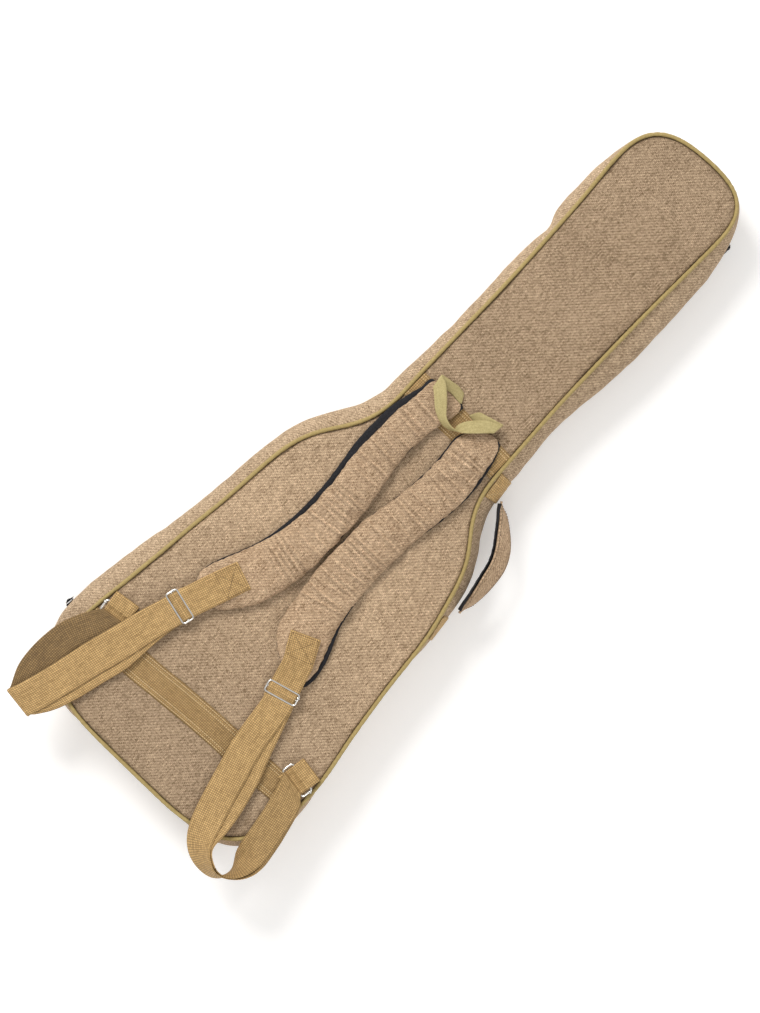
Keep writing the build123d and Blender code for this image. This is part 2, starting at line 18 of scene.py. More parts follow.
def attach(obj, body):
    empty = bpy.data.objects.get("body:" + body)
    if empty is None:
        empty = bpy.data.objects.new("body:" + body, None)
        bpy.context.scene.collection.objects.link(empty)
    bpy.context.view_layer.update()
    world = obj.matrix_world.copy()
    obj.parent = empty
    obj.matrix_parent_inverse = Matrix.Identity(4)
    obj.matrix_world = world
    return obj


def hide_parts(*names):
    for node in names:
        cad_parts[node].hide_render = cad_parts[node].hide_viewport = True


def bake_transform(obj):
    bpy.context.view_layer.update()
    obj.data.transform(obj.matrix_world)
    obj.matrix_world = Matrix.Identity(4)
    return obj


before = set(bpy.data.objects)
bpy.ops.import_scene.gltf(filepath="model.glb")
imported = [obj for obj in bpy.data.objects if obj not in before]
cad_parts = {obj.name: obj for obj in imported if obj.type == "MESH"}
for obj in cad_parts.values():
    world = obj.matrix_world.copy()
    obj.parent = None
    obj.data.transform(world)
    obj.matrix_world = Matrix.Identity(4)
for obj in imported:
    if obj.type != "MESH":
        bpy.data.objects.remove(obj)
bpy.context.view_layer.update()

# =============================================================================
# Driving dimensions
# =============================================================================
BACK_Z = 90.0                   # top of the back panel
ZIP_Z = 36.0                    # plane where the two shells meet
HINGE_Y = (-150.0, 75.0)        # extent of the cloth hinge on the right side
RING_POINTS = 1000              # points round each outline of the shells
RIM_INSET = 6.0                 # the zip rim lies inside the widest outline by this
SPINE = (-110.0, 728.0)         # y extent of the spine that shell panels close on
STRAP_THICK = 1.7               # webbing that shows on top
UNDER_THICK = 1.6               # webbing of the lower and returning layers
BAR_RADIUS = 2.35               # webbing bent round the bar of a wire ring
UP_AXIS = np.array([0, 0, 1.0])

# Glides and wire rings: centre of the bar (x, y, z) and turn about z in degrees
GLIDES = {"left": ((-91.0, -50.5, 102.4), -14.0), "right": ((72.5, -39.5, 102.4), 15.0)}
RINGS = {"left": ((-141.0, -103.5, 95.4), 8.0), "right": ((162.0, -97.0, 95.4), -9.0)}

# =============================================================================
# Outlines, anticlockwise or clockwise points (x, y)
# =============================================================================
# widest outline of the case
BULGE = [
    (0, -240), (55, -240), (107, -240), (149.5, -228.6), (180.6, -197.5), (192, -157),
    (191, -125), (186, -92), (181, -62), (176.5, -33), (171, -3), (166.5, 26), (163.5, 56),
    (161.8, 85), (160.6, 115), (158.6, 144), (154.6, 180), (146.9, 213), (131.5, 246),
    (113, 272), (99.5, 298), (96, 322), (94.5, 351), (92.4, 381), (90.2, 410), (90.2, 440),
    (92.4, 469), (96, 499), (98.6, 528), (100, 572), (100, 631), (98.3, 676), (94, 705),
    (87, 737), (77, 764), (67, 780), (47, 794), (0, 800), (-50, 794), (-74, 780),
    (-86, 764), (-92.8, 735), (-98, 707), (-99.6, 690), (-99.6, 668), (-98.8, 644),
    (-98.2, 628), (-95.5, 618), (-90.2, 610), (-88.8, 600), (-90.4, 588), (-93.4, 570),
    (-93.2, 543), (-92.4, 513), (-92, 484), (-91.8, 454), (-92.2, 425),
    (-93.5, 395), (-95.6, 366), (-96.5, 330), (-98.5, 307), (-106, 281), (-118, 260),
    (-131, 240), (-141, 218), (-147.5, 200), (-153, 174), (-157, 144), (-159.2, 115),
    (-161.6, 85), (-164.6, 56), (-169, 26), (-174.5, -3), (-180, -33), (-185, -62),
    (-189.7, -92), (-192.5, -121), (-191.5, -157), (-180.6, -197.5), (-149.5, -228.6),
    (-107, -240), (-55, -240),
]
# piped seam round the back panel
SEAM = [
    (0, -238.4), (50, -238.4), (81, -238), (103.7, -234.6), (142.7, -223), (162, -206),
    (179, -178), (186, -140), (186, -110), (182.9, -74), (178.8, -54), (174.7, -32),
    (170.7, -9.5), (167.8, 14), (164.8, 35), (161.8, 56), (160, 80), (157.4, 106), (155, 129),
    (149.7, 155), (144.8, 172), (139.9, 193), (133.6, 214), (124.6, 235), (113, 251),
    (100, 265), (88.5, 281), (81.5, 297), (78, 315), (77, 337), (76.4, 357), (75.2, 378),
    (74.2, 400), (73, 424), (71.6, 455), (71.4, 480), (71, 520), (70.8, 560), (71, 592),
    (71.2, 617), (71.7, 641), (72.5, 665), (72.8, 690), (73.4, 714), (73.6, 739),
    (72.4, 757), (67.2, 773), (57, 785.5), (44, 792), (27, 795), (6.5, 795.4), (-16, 794.6),
    (-38.7, 792.2), (-58, 787), (-72, 779), (-81.5, 769), (-88, 754), (-90, 734),
    (-89, 709), (-86.3, 680), (-84.2, 653), (-83, 628), (-81.8, 601), (-80.4, 570),
    (-79, 520), (-78.2, 485), (-78.4, 455), (-78.4, 428), (-78, 401), (-78, 375),
    (-78, 352), (-76.5, 329), (-75.8, 307), (-79.5, 284), (-89, 264), (-101, 247),
    (-113.5, 230), (-124.5, 211), (-132, 190), (-136.8, 164), (-139, 137), (-141, 109),
    (-143.2, 82), (-146, 56), (-148.6, 40), (-151.4, 12), (-153.4, -11), (-156, -33),
    (-158.6, -55), (-161, -78), (-164, -100), (-166.9, -121), (-167.5, -148), (-163, -177),
    (-150, -205), (-128, -225), (-101.7, -234.4), (-77, -237.6), (-40, -238.4),
]
# shoulder pad covers, and the slightly larger backings under them
PAD_LEFT = [
    (-60, 367), (-61, 347), (-65, 324), (-67.5, 303), (-69, 281), (-69.2, 258), (-68.2, 234),
    (-66.8, 209), (-65.4, 186), (-65, 163), (-65.6, 137), (-67.6, 112), (-72, 91), (-79.5, 69),
    (-87, 48), (-96, 28), (-101.8, 11), (-103.6, -2), (-99, -15), (-88, -23), (-72, -26.5),
    (-57, -22), (-45, -12), (-33, 4), (-23, 23), (-15, 46), (-9.5, 72), (-6.4, 100),
    (-5.2, 130), (-5.6, 153), (-6.6, 178), (-9.4, 202), (-14.5, 231), (-18.4, 256),
    (-20, 280), (-19, 303), (-16.5, 325), (-12, 347), (-10, 361), (-13, 367),
]
BACKING_LEFT = [
    (-61, 368), (-66, 347), (-72, 324), (-76, 303), (-77, 281), (-77, 258), (-75.5, 238),
    (-71.5, 212), (-68.4, 188), (-67, 163), (-67, 137), (-69, 112), (-73.4, 91), (-80.5, 69),
    (-88.5, 48), (-97.5, 28), (-103.2, 11), (-104.8, -2), (-100.2, -16), (-88.5, -24.4),
    (-72, -28), (-56.4, -23), (-44, -13), (-32, 3), (-22, 22), (-14, 45), (-8.5, 72),
    (-5.2, 100), (-4.4, 130), (-4.8, 153), (-5.8, 178), (-8.6, 202), (-13.7, 231),
    (-17.6, 256), (-19, 280), (-18, 303), (-15.5, 325), (-11, 347), (-9, 361), (-12, 368),
]
PAD_RIGHT = [
    (37, 366), (45, 367), (52, 366), (57, 357), (60.5, 340), (63.5, 320), (67, 300),
    (68, 280), (66.6, 253), (64, 226), (61, 200), (60, 170), (59.8, 140), (61.4, 113),
    (64.6, 88), (69.2, 64), (74.4, 47), (79.8, 31), (84.4, 14), (86.6, -2), (83, -16),
    (73, -24), (59, -22.6), (46, -15.6), (34, -8), (23.6, 0.4), (14.6, 13), (8.6, 28),
    (5, 46), (2.4, 66), (-0.5, 86), (-2.8, 104), (-4, 124), (-3.8, 150), (-3, 176),
    (1.4, 203), (7.6, 232), (11.6, 264), (12.6, 286), (11.6, 308), (9, 332), (13, 345),
    (25, 357),
]
BACKING_RIGHT = [
    (37, 367), (46, 368), (55, 367), (61, 357), (66, 340), (69.4, 320), (71.4, 300),
    (71.6, 280), (69.2, 253), (65.4, 226), (62, 200), (61, 170), (60.8, 140), (62.4, 113),
    (66, 88), (71.2, 64), (77.4, 47), (83.6, 31), (88.4, 14), (90.4, -4), (87, -19),
    (75.4, -26.6), (59, -24.4), (45.4, -17), (33.2, -9.2), (22.6, -0.8), (13.4, 12.4),
    (7.4, 27.6), (3.8, 46), (1.2, 66), (-1.7, 86), (-4, 104), (-5.2, 124), (-5, 150),
    (-4.4, 176), (-0.6, 203), (5, 232), (8.4, 264), (9.2, 286), (8, 308), (5.6, 332),
    (10.6, 346), (24, 358.4),
]
# centre lines of the two bands sewn across the back
LOW_BAND = np.array([(-163, -141.5), (-85, -139.5), (15, -132), (80, -129.5),
                     (121, -128.5), (179, -124.5)], float)
UP_BAND = np.array([(-74, 346), (-40, 346), (0, 346.4), (40, 346), (73, 345.6)], float)


# =============================================================================
# Curves and fields
# =============================================================================
def spline_span(p0, p1, p2, p3, t):
    """Catmull-Rom point between p1 and p2."""
    return 0.5 * (2 * p1 + (p2 - p0) * t + (2 * p0 - 5 * p1 + 4 * p2 - p3) * t ** 2
                  + (3 * p1 - p0 - 3 * p2 + p3) * t ** 3)


def catmull(points, steps=16, closed=True):
    points = np.asarray(points, float)
    count = len(points)
    t = (np.arange(steps) / steps)[:, None]
    spans = []
    for i in range(count if closed else count - 1):
        if closed:
            picks = [i - 1, i, (i + 1) % count, (i + 2) % count]
        else:
            picks = [max(i - 1, 0), i, i + 1, min(i + 2, count - 1)]
        spans.append(spline_span(*points[picks], t))
    curve = np.concatenate(spans)
    return curve if closed else np.vstack([curve, points[-1]])


def run_length(points, closed=True):
    """Length run up to each point; a closed line ends with its whole length."""
    if closed:
        points = np.vstack([points, points[0]])
    steps = np.linalg.norm(np.diff(points, axis=0), axis=1)
    return np.concatenate([[0], np.cumsum(steps)])


def row_lengths(grid):
    """Length run along each row of a grid of points."""
    steps = np.linalg.norm(np.diff(grid, axis=1), axis=2)
    return np.concatenate([np.zeros((len(grid), 1)), np.cumsum(steps, axis=1)], 1)


def interp_rows(at, run, values):
    return np.stack([np.interp(at, run, column) for column in values.T], 1)


def resample(points, count, closed=True, raw=False):
    """Evenly spaced points along a spline through the points, or along raw straight lines."""
    points = np.asarray(points, float) if raw else catmull(points, closed=closed)
    if closed:
        points = np.vstack([points, points[0]])
    run = run_length(points, closed=False)
    at = np.linspace(0, run[-1], count + 1)[:-1] if closed else np.linspace(0, run[-1], count)
    return interp_rows(at, run, points)


def resample_rows(rows, count):
    """Spline through control rows of any width, even along their first three columns."""
    dense = catmull(rows, 24, closed=False)
    run = run_length(dense[:, :3], closed=False)
    return interp_rows(np.linspace(0, run[-1], count), run, dense)


def gauss_ring(ring, sigma):
    reach = int(sigma * 3) + 1
    shifts = np.arange(-reach, reach + 1)
    weights = np.exp(-0.5 * (shifts / sigma) ** 2)
    weights /= weights.sum()
    out = np.zeros_like(ring)
    for shift, weight in zip(shifts, weights):
        out += np.roll(ring, shift, axis=0) * weight
    return out


def box_smooth(values, reach, **padding):
    padded = np.pad(values, reach, **(padding or {"mode": "edge"}))
    return np.convolve(padded, np.ones(2 * reach + 1) / (2 * reach + 1), "valid")


def smooth_rows(points, reach):
    return np.stack([box_smooth(column, reach, mode="reflect", reflect_type="odd")
                     for column in points.T], 1)


def left_normals(line, closed=True):
    """Plan normals on the left of a line: inward on an anticlockwise ring."""
    if closed:
        step = np.roll(line, -1, 0) - np.roll(line, 1, 0)
    else:
        step = np.gradient(line, axis=0)
    step = step[:, :2] / np.linalg.norm(step[:, :2], axis=1)[:, None]
    return np.stack([-step[:, 1], step[:, 0]], 1)


def inset(ring, distance):
    return ring + left_normals(ring) * np.reshape(distance, (-1, 1))


def anticlockwise(ring):
    x, y = ring.T
    area = 0.5 * np.sum(x * np.roll(y, -1) - np.roll(x, -1) * y)
    return ring[::-1] if area < 0 else ring


def unit(vectors):
    vectors = np.asarray(vectors, float)
    return vectors / np.maximum(np.linalg.norm(vectors, axis=-1, keepdims=True), 1e-9)


def tangents(line):
    return unit(np.gradient(line, axis=0))


def at_height(line, z):
    return np.column_stack([line, np.broadcast_to(z, len(line))])


def level_rows(ring, levels):
    """Grid of one ring at each (inset, height) of levels."""
    return np.stack([at_height(inset(ring, step), z) for step, z in levels], 1)


def lerp(a, b, t):
    return a + (b - a) * t


def smoothstep(a, b, x):
    t = np.clip((x - a) / (b - a), 0, 1)
    return t * t * (3 - 2 * t)


def soft_noise(points, wavelength, seed):
    """Smooth pseudo-random field with a typical wavelength, about -1..1."""
    waves = 22
    points = np.asarray(points, float)
    rng = np.random.default_rng(seed)
    direction = rng.normal(size=(waves, points.shape[1]))
    direction /= np.linalg.norm(direction, axis=1)[:, None]
    number = 2 * np.pi / wavelength * rng.uniform(0.55, 1.5, waves)
    phase = rng.uniform(0, 2 * np.pi, waves)
    total = np.sin(points @ (direction * number[:, None]).T + phase).sum(1)
    return total * (0.75 / math.sqrt(waves / 2.0))


def ring_noise(run, total, wavelength, seed):
    """Periodic noise along a closed line of the given total length."""
    angle = run / total * 2 * np.pi
    radius = total / (2 * np.pi)
    circle = np.stack([np.cos(angle) * radius, np.sin(angle) * radius], -1)
    return soft_noise(circle, wavelength, seed)


def line_noise(run, wavelength, seed):
    return soft_noise(np.stack([run, 0 * run], 1), wavelength, seed)


def inside(polygon, points):
    x, y = points.T
    result = np.zeros(len(points), bool)
    for (xi, yi), (xj, yj) in zip(polygon, np.roll(polygon, 1, 0)):
        result ^= ((yi > y) != (yj > y)) & (x < (xj - xi) * (y - yi) / (yj - yi + 1e-12) + xi)
    return result


def line_distance(points, path):
    """Distance of points to a polyline."""
    best = np.full(len(points), 1e9)
    for a, b in zip(path[:-1], path[1:]):
        t = np.clip(((points - a) @ (b - a)) / max((b - a) @ (b - a), 1e-9), 0, 1)
        best = np.minimum(best, np.linalg.norm(points - (a + t[:, None] * (b - a)), axis=1))
    return best


def nearest(points, line):
    """Index of the nearest vertex of a plan line, and its distance, for each point."""
    chunk = 4000                # keeps the distance table small
    index, distance = [], []
    for first in range(0, len(points), chunk):
        squares = ((points[first:first + chunk, None, :2] - line[None]) ** 2).sum(2)
        index.append(squares.argmin(1))
        distance.append(np.sqrt(squares.min(1)))
    return np.concatenate(index), np.concatenate(distance)


def unbroken_run(mask):
    """Indices of a mask on a ring, in order round it, starting after the first gap."""
    index = np.nonzero(mask)[0]
    gaps = np.nonzero(np.diff(index) > 1)[0]
    if len(gaps):
        index = np.concatenate([index[gaps[0] + 1:], index[:gaps[0] + 1]])
    return index


# =============================================================================
# Shader building
# =============================================================================
class Field:
    """A shader output; arithmetic on it adds Math nodes."""

    def __init__(self, shader, socket):
        self.shader = shader
        self.socket = socket

    def __add__(self, other):
        return self.shader.math("ADD", self, other)

    def __sub__(self, other):
        return self.shader.math("SUBTRACT", self, other)

    def __rsub__(self, other):
        return self.shader.math("SUBTRACT", other, self)

    def __mul__(self, other):
        return self.shader.math("MULTIPLY", self, other)

    def __truediv__(self, other):
        return self.shader.math("DIVIDE", self, other)

    def __mod__(self, other):
        return self.shader.math("FLOORED_MODULO", self, other)

    def __pow__(self, other):
        return self.shader.math("POWER", self, other)

    def floor(self):
        return self.shader.math("FLOOR", self)

    def fract(self):
        return self.shader.math("FRACT", self)

    def arch(self):
        """Half a sine wave as the field runs from 0 to 1."""
        return self.shader.math("SINE", self * math.pi)

    def clamped(self):
        return self.shader.math("MINIMUM", self.shader.math("MAXIMUM", self, 0.0), 1.0)

    def ramp(self, low, high, to_low=0.0, to_high=1.0):
        inputs = {0: self, 1: low, 2: high, 3: to_low, 4: to_high}
        return self.shader.value("MapRange", inputs)

    def scaled(self, factor):
        return self.shader.value("VectorMath", {0: self, 3: factor}, operation="SCALE")


class Shader:
    def __init__(self, name):
        self.material = bpy.data.materials.new(name)
        self.material.use_nodes = True
        self.tree = self.material.node_tree
        self.tree.nodes.clear()
        output = self.node("OutputMaterial")
        self.principled = self.node("BsdfPrincipled")
        self.tree.links.new(self.principled.outputs[0], output.inputs[0])

    def put(self, node, key, value):
        if isinstance(value, Field):
            self.tree.links.new(value.socket, node.inputs[key])
        else:
            node.inputs[key].default_value = value

    def node(self, kind, inputs=None, **attributes):
        node = self.tree.nodes.new("ShaderNode" + kind)
        for key, value in attributes.items():
            setattr(node, key, value)
        for key, value in (inputs or {}).items():
            self.put(node, key, value)
        return node

    def value(self, kind, inputs=None, output=0, **attributes):
        return Field(self, self.node(kind, inputs, **attributes).outputs[output])

    def math(self, operation, first, second=0.0, third=None):
        inputs = {0: first, 1: second}
        if third is not None:
            inputs[2] = third
        return self.value("Math", inputs, operation=operation)

    def choose(self, pick, chosen, other):
        """chosen where pick is 1, other where it is 0."""
        return chosen * pick + other * (1.0 - pick)

    def mix(self, factor, first, second):
        inputs = {0: factor, 6: (*first, 1), 7: (*second, 1)}
        return self.value("Mix", inputs, output=2, data_type="RGBA")

    def uv_vector(self):
        return self.value("UVMap", uv_map="mm")

    def uv(self):
        split = self.node("SeparateXYZ", {0: self.uv_vector()})
        return Field(self, split.outputs[0]), Field(self, split.outputs[1])

    def vector(self, x, y, z=0.0):
        return self.value("CombineXYZ", {0: x, 1: y, 2: z})

    def noise(self, vector, scale=1.0, detail=2.0, roughness=0.5):
        return self.value("TexNoise", {"Vector": vector, "Scale": scale, "Detail": detail,
                                       "Roughness": roughness})

    def object_space(self, scale=1000.0):
        """Object coordinates, in millimetres at the default scale."""
        return self.value("TexCoord", output="Object").scaled(scale)

    def random(self, x, y, z):
        """One random value for each whole-numbered cell."""
        return self.value("TexWhiteNoise", {"Vector": self.vector(x, y, z)},
                          noise_dimensions="3D")

    def finish(self, color, roughness, height, distance, strength, specular,
               sheen=0.0, sheen_tint=None, metallic=0.0):
        """Bump distance is in metres."""
        self.put(self.principled, "Base Color", color)
        self.put(self.principled, "Roughness", roughness)
        self.put(self.principled, "Metallic", metallic)
        self.put(self.principled, "Specular IOR Level", specular)
        if sheen:
            self.put(self.principled, "Sheen Weight", sheen)
            self.put(self.principled, "Sheen Roughness", 0.45)
            if sheen_tint:
                self.put(self.principled, "Sheen Tint", (*sheen_tint, 1))
        bump = {"Height": height, "Distance": distance, "Strength": strength}
        self.put(self.principled, "Normal", self.value("Bump", bump))
        return self.material


# =============================================================================
# Materials: in each, tone is a weighted sum of streaks, flecks and broad patches
# =============================================================================
def canvas_material(name, light, dark, painted_light_zone=None, ridge_shading=False):
    """Coarse 2/1 twill of thick heathered yarns with slubs.

    The fourth argument is (centre, reach, least brightness) of a zone of painted light along
    v:
    the canvas is darker away from it, standing in for the panel's tilt to the light.
    """
    yarn_pitch = 1.6
    shader = Shader(name)
    u, v = shader.uv()
    drift = shader.noise(shader.vector(u * 0.02, v * 0.02))
    x = u / yarn_pitch + drift * 1.4
    y = v / (yarn_pitch * 1.06) + drift * 1.1
    column, row = x.floor(), y.floor()
    x_in, y_in = x.fract(), y.fract()
    warp_on = shader.math("LESS_THAN", (row - column) % 3.0, 1.5)
    x_arch, y_arch = x_in.arch(), y_in.arch()
    # a floating yarn is highest in the middle of its float
    float_arch = (((row - column) + y_in) / 3.0).fract().arch()
    warp_height = (x_arch ** 0.6) * shader.math("MULTIPLY_ADD", float_arch, 0.45, 0.6)
    weft_height = (y_arch ** 0.6) * 0.62
    height = shader.choose(warp_on, warp_height, weft_height)
    # long streaks along each yarn, and flecks
    yarn = dict(detail=3.0, roughness=0.6)
    warp_streak = shader.noise(shader.vector(column * 3.7, y * 0.16), **yarn)
    weft_streak = shader.noise(shader.vector(x * 0.16, row * 3.7, 5.0), **yarn)
    streak = shader.choose(warp_on, warp_streak, weft_streak)
    fleck = shader.random(column, row, warp_on)
    patches = shader.noise(shader.object_space(12.0), detail=3.0, roughness=0.55)
    slub_up = shader.noise(shader.vector(u * 0.75, v * 0.08, 9.0), detail=1.0)
    slub_across = shader.noise(shader.vector(u * 0.08, v * 0.75, 4.0), detail=1.0)
    tone = streak.ramp(0.3, 0.7) * 0.58 + fleck * 0.34
    tone = tone + (0.5 - warp_on) * -0.22
    tone = tone + (patches - 0.5) * 0.35
    tone = tone + (slub_up - 0.5) * 0.62
    tone = tone + (slub_across - 0.5) * 0.62
    color = shader.mix(tone.clamped(), dark, light)
    # painted shade in the hollows between yarns, a slight painted highlight on their crowns
    color = color.scaled(height.ramp(0.05, 0.6, to_low=0.36, to_high=1.04))
    # painted light: the colour is scaled darker away from a paler zone along v
    if painted_light_zone:
        centre, reach, least = painted_light_zone
        t = (v - centre) / reach
        bell = shader.math("EXPONENT", (t * t) * -1.0)
        color = color.scaled(shader.math("MULTIPLY_ADD", bell, 1.0 - least, least))
    if ridge_shading:                  # painted highlight on the crests and painted shade in the hollows of the pressed ridges
        ridge = shader.value("Attribute", output="Fac", attribute_name="ridge")
        color = color.scaled(ridge.ramp(-1.0, 1.0, to_low=0.78, to_high=1.22))
    return shader.finish(color, fleck.ramp(0, 1, 0.82, 0.97), height, distance=0.00045,
                         strength=0.75, specular=0.2, sheen=0.18, sheen_tint=light)


def webbing_material(name, light, dark):
    """Heavy plain-weave webbing: a grid of rounded yarn crowns, with painted shade in the gaps
    and painted highlight on the crowns.
    """
    crown_u, crown_v = 2.5, 2.6
    shader = Shader(name)
    u, v = shader.uv()
    x = u / crown_u
    column, x_in = x.floor(), x.fract()
    y = v / crown_v + (x_in - 0.5) * 0.22
    crown = (y.fract().arch() ** 0.8) * (x_in.arch() ** 0.8)
    strand = (x * 3.0).fract().arch()
    height = crown * 0.85 + strand * 0.15
    fleck = shader.random(column, y.floor(), 2.0)
    streak = shader.noise(shader.vector(column * 2.3, v * 0.06), roughness=0.6)
    patches = shader.noise(shader.object_space(30.0))
    tone = streak.ramp(0.3, 0.7) * 0.30 + fleck * 0.30
    tone = tone + (patches - 0.5) * 0.35
    color = shader.mix((tone + 0.19).clamped(), dark, light)
    # painted shade in the gaps between crowns and painted highlight on the crowns
    color = color.scaled(height.ramp(0.1, 0.85, to_low=0.42, to_high=1.20))
    return shader.finish(color, fleck.ramp(0, 1, 0.60, 0.78), height, distance=0.0006,
                         strength=0.9, specular=0.35, sheen=0.12, sheen_tint=light)


def cord_material(name, light, dark):
    """Braided cord: two crossing sets of diagonal strands."""
    shader = Shader(name)
    u, v = shader.uv()
    rising = u / 1.7 + v / 2.4
    falling = u / 1.7 - v / 2.4
    height = shader.math("MAXIMUM", rising.fract().arch(), falling.fract().arch())
    streak = shader.noise(shader.vector(u * 0.05, v * 0.4), detail=3.0)
    patches = shader.noise(shader.object_space(20.0))
    fleck = shader.random(rising.floor(), falling.floor(), 1.0)
    tone = fleck * 0.35 + (streak * 0.5 + patches * 0.3)
    color = shader.mix((tone - 0.08).clamped(), dark, light)
    # painted shade between the strands, a slight painted highlight on their tops
    color = color.scaled(height.ramp(0.3, 1.0, to_low=0.7, to_high=1.05))
    return shader.finish(color, 0.7, height, distance=0.0003, strength=0.6, specular=0.35,
                         sheen=0.1, sheen_tint=light)


def mesh_material(name, light, dark):
    """Black open-knit cloth: small cells."""
    shader = Shader(name)
    cells = shader.value("TexVoronoi", {"Vector": shader.uv_vector(), "Scale": 0.55},
                         output="Distance", voronoi_dimensions="2D")
    patches = shader.noise(shader.object_space(400.0), detail=3.0)
    tone = cells.ramp(0.1, 0.6) * patches.ramp(0.3, 0.7, to_low=0.4, to_high=1.0)
    return shader.finish(shader.mix(tone, dark, light), cells.ramp(0, 0.6, 0.6, 0.9), cells,
                         distance=0.0004, strength=0.7, specular=0.2, sheen=0.03)


def lining_material(name, light, dark):
    """Short plush nap, laid in slow swirls."""
    shader = Shader(name)
    place = shader.object_space()
    u, v = shader.uv()
    nap = shader.noise(place, scale=1.1, detail=4.0, roughness=0.7)
    swirl = shader.noise(place, scale=0.05)
    lay = shader.noise(shader.vector(u * 0.35, v * 0.06), detail=3.0, roughness=0.6)
    tone = nap * 0.5 + (swirl * 0.35 + lay * 0.3)
    return shader.finish(shader.mix(tone.ramp(0.3, 0.85), dark, light), 0.95, nap,
                         distance=0.0005, strength=0.5, specular=0.15, sheen=0.5)


def metal_material(name, base, roughness, metallic):
    """Metal with scratches and patches of grime."""
    shader = Shader(name)
    place = shader.object_space()
    stretched = shader.value("VectorMath", {0: place, 1: (0.3, 2.5, 2.5)},
                             operation="MULTIPLY")
    scratch = shader.noise(stretched, scale=1.2, detail=4.0, roughness=0.7)
    grime = shader.noise(place, scale=0.18, detail=3.0, roughness=0.6)
    rough = (scratch.ramp(0.35, 0.75, roughness * 0.6, roughness * 1.5)
             + grime.ramp(0.45, 0.75, 0.0, 0.12))
    dull = [channel * 0.55 for channel in base]
    color = shader.mix(grime.ramp(0.5, 0.8, 0.0, 0.5), base, dull)
    return shader.finish(color, rough, scratch, distance=0.00008, strength=0.35,
                         specular=0.5, metallic=metallic)


def thread_material(name, light, dark):
    shader = Shader(name)
    place = shader.object_space()
    streak = shader.noise(place, scale=1.6, detail=3.0, roughness=0.6)
    twist = shader.value("TexWave", {"Vector": place, "Scale": 1.3, "Distortion": 3.0,
                                     "Detail": 1.0}, output=1)
    return shader.finish(shader.mix(streak.ramp(0.3, 0.7), dark, light), 0.55, twist,
                         distance=0.0001, strength=0.4, specular=0.4, sheen=0.1)


def tape_material(name, light, dark):
    """Fine plain weave of the zip tape, rim binding and hang loop."""
    yarn_pitch = 0.9
    shader = Shader(name)
    u, v = shader.uv()
    x, y = u / yarn_pitch, v / yarn_pitch
    over = (x.floor() + y.floor()) % 2.0
    height = shader.choose(over, x.fract().arch(), y.fract().arch())
    fleck = shader.random(x.floor(), y.floor(), 3.0)
    streak = shader.noise(shader.vector(u * 0.5, v * 0.06), detail=3.0)
    tone = fleck * 0.4 + streak * 0.7
    color = shader.mix(tone.ramp(0.15, 0.9), dark, light)
    # painted shade in the hollows between yarns
    color = color.scaled(height.ramp(0.1, 1.0, to_low=0.7, to_high=1.03))
    return shader.finish(color, fleck.ramp(0, 1, 0.65, 0.85), height, distance=0.00025,
                         strength=0.6, specular=0.3, sheen=0.1, sheen_tint=light)


def coil_material(name, light, dark):
    shader = Shader(name)
    grain = shader.noise(shader.object_space(), scale=0.8, detail=3.0, roughness=0.6)
    return shader.finish(shader.mix(grain.ramp(0.3, 0.7), dark, light),
                         grain.ramp(0.3, 0.7, 0.3, 0.5), grain,
                         distance=0.0001, strength=0.3, specular=0.5)


# light colour, then dark colour, both linear RGB
# panels and pockets get painted light: paler round v 110, down to 0.75 towards both ends
CANVAS = canvas_material("canvas_tan", (0.74, 0.545, 0.360), (0.200, 0.127, 0.068),
                         painted_light_zone=(110.0, 190.0, 0.75))
CANVAS_SIDE = canvas_material("canvas_side", (0.71, 0.53, 0.355), (0.200, 0.130, 0.072))
WEBBING = webbing_material("webbing_gold", (0.745, 0.490, 0.212), (0.31, 0.185, 0.064))
WEBBING_BLACK = webbing_material("webbing_black", (0.05, 0.05, 0.05), (0.012, 0.012, 0.012))
CORD = cord_material("piping_olive", (0.50, 0.385, 0.155), (0.26, 0.185, 0.065))
MESH = mesh_material("mesh_black", (0.028, 0.028, 0.032), (0.007, 0.007, 0.009))
LINING = lining_material("lining_dark", (0.075, 0.066, 0.056), (0.012, 0.011, 0.010))
LINING_PAD = lining_material("lining_pad", (0.105, 0.090, 0.072), (0.030, 0.026, 0.022))
NICKEL = metal_material("nickel", (0.78, 0.77, 0.74), roughness=0.16, metallic=1.0)
BLACK_METAL = metal_material("black_metal", (0.045, 0.045, 0.048), roughness=0.35,
                             metallic=0.9)
# pads get painted light, paler round v -10, and painted highlight and shade on their ridges
CANVAS_PAD = canvas_material("canvas_pad", (0.765, 0.555, 0.365), (0.215, 0.128, 0.066),
                             painted_light_zone=(-10.0, 150.0, 0.90), ridge_shading=True)
# darker copy of the strap webbing: painted shade on the sewn bands, lying low between pads and
# legs
WEBBING_SHADED_BAND = webbing_material("webbing_shaded_band", (0.57, 0.370, 0.158), (0.23, 0.136, 0.048))
WEBBING_SHADE = webbing_material("webbing_shade", (0.36, 0.230, 0.098), (0.13, 0.076, 0.028))
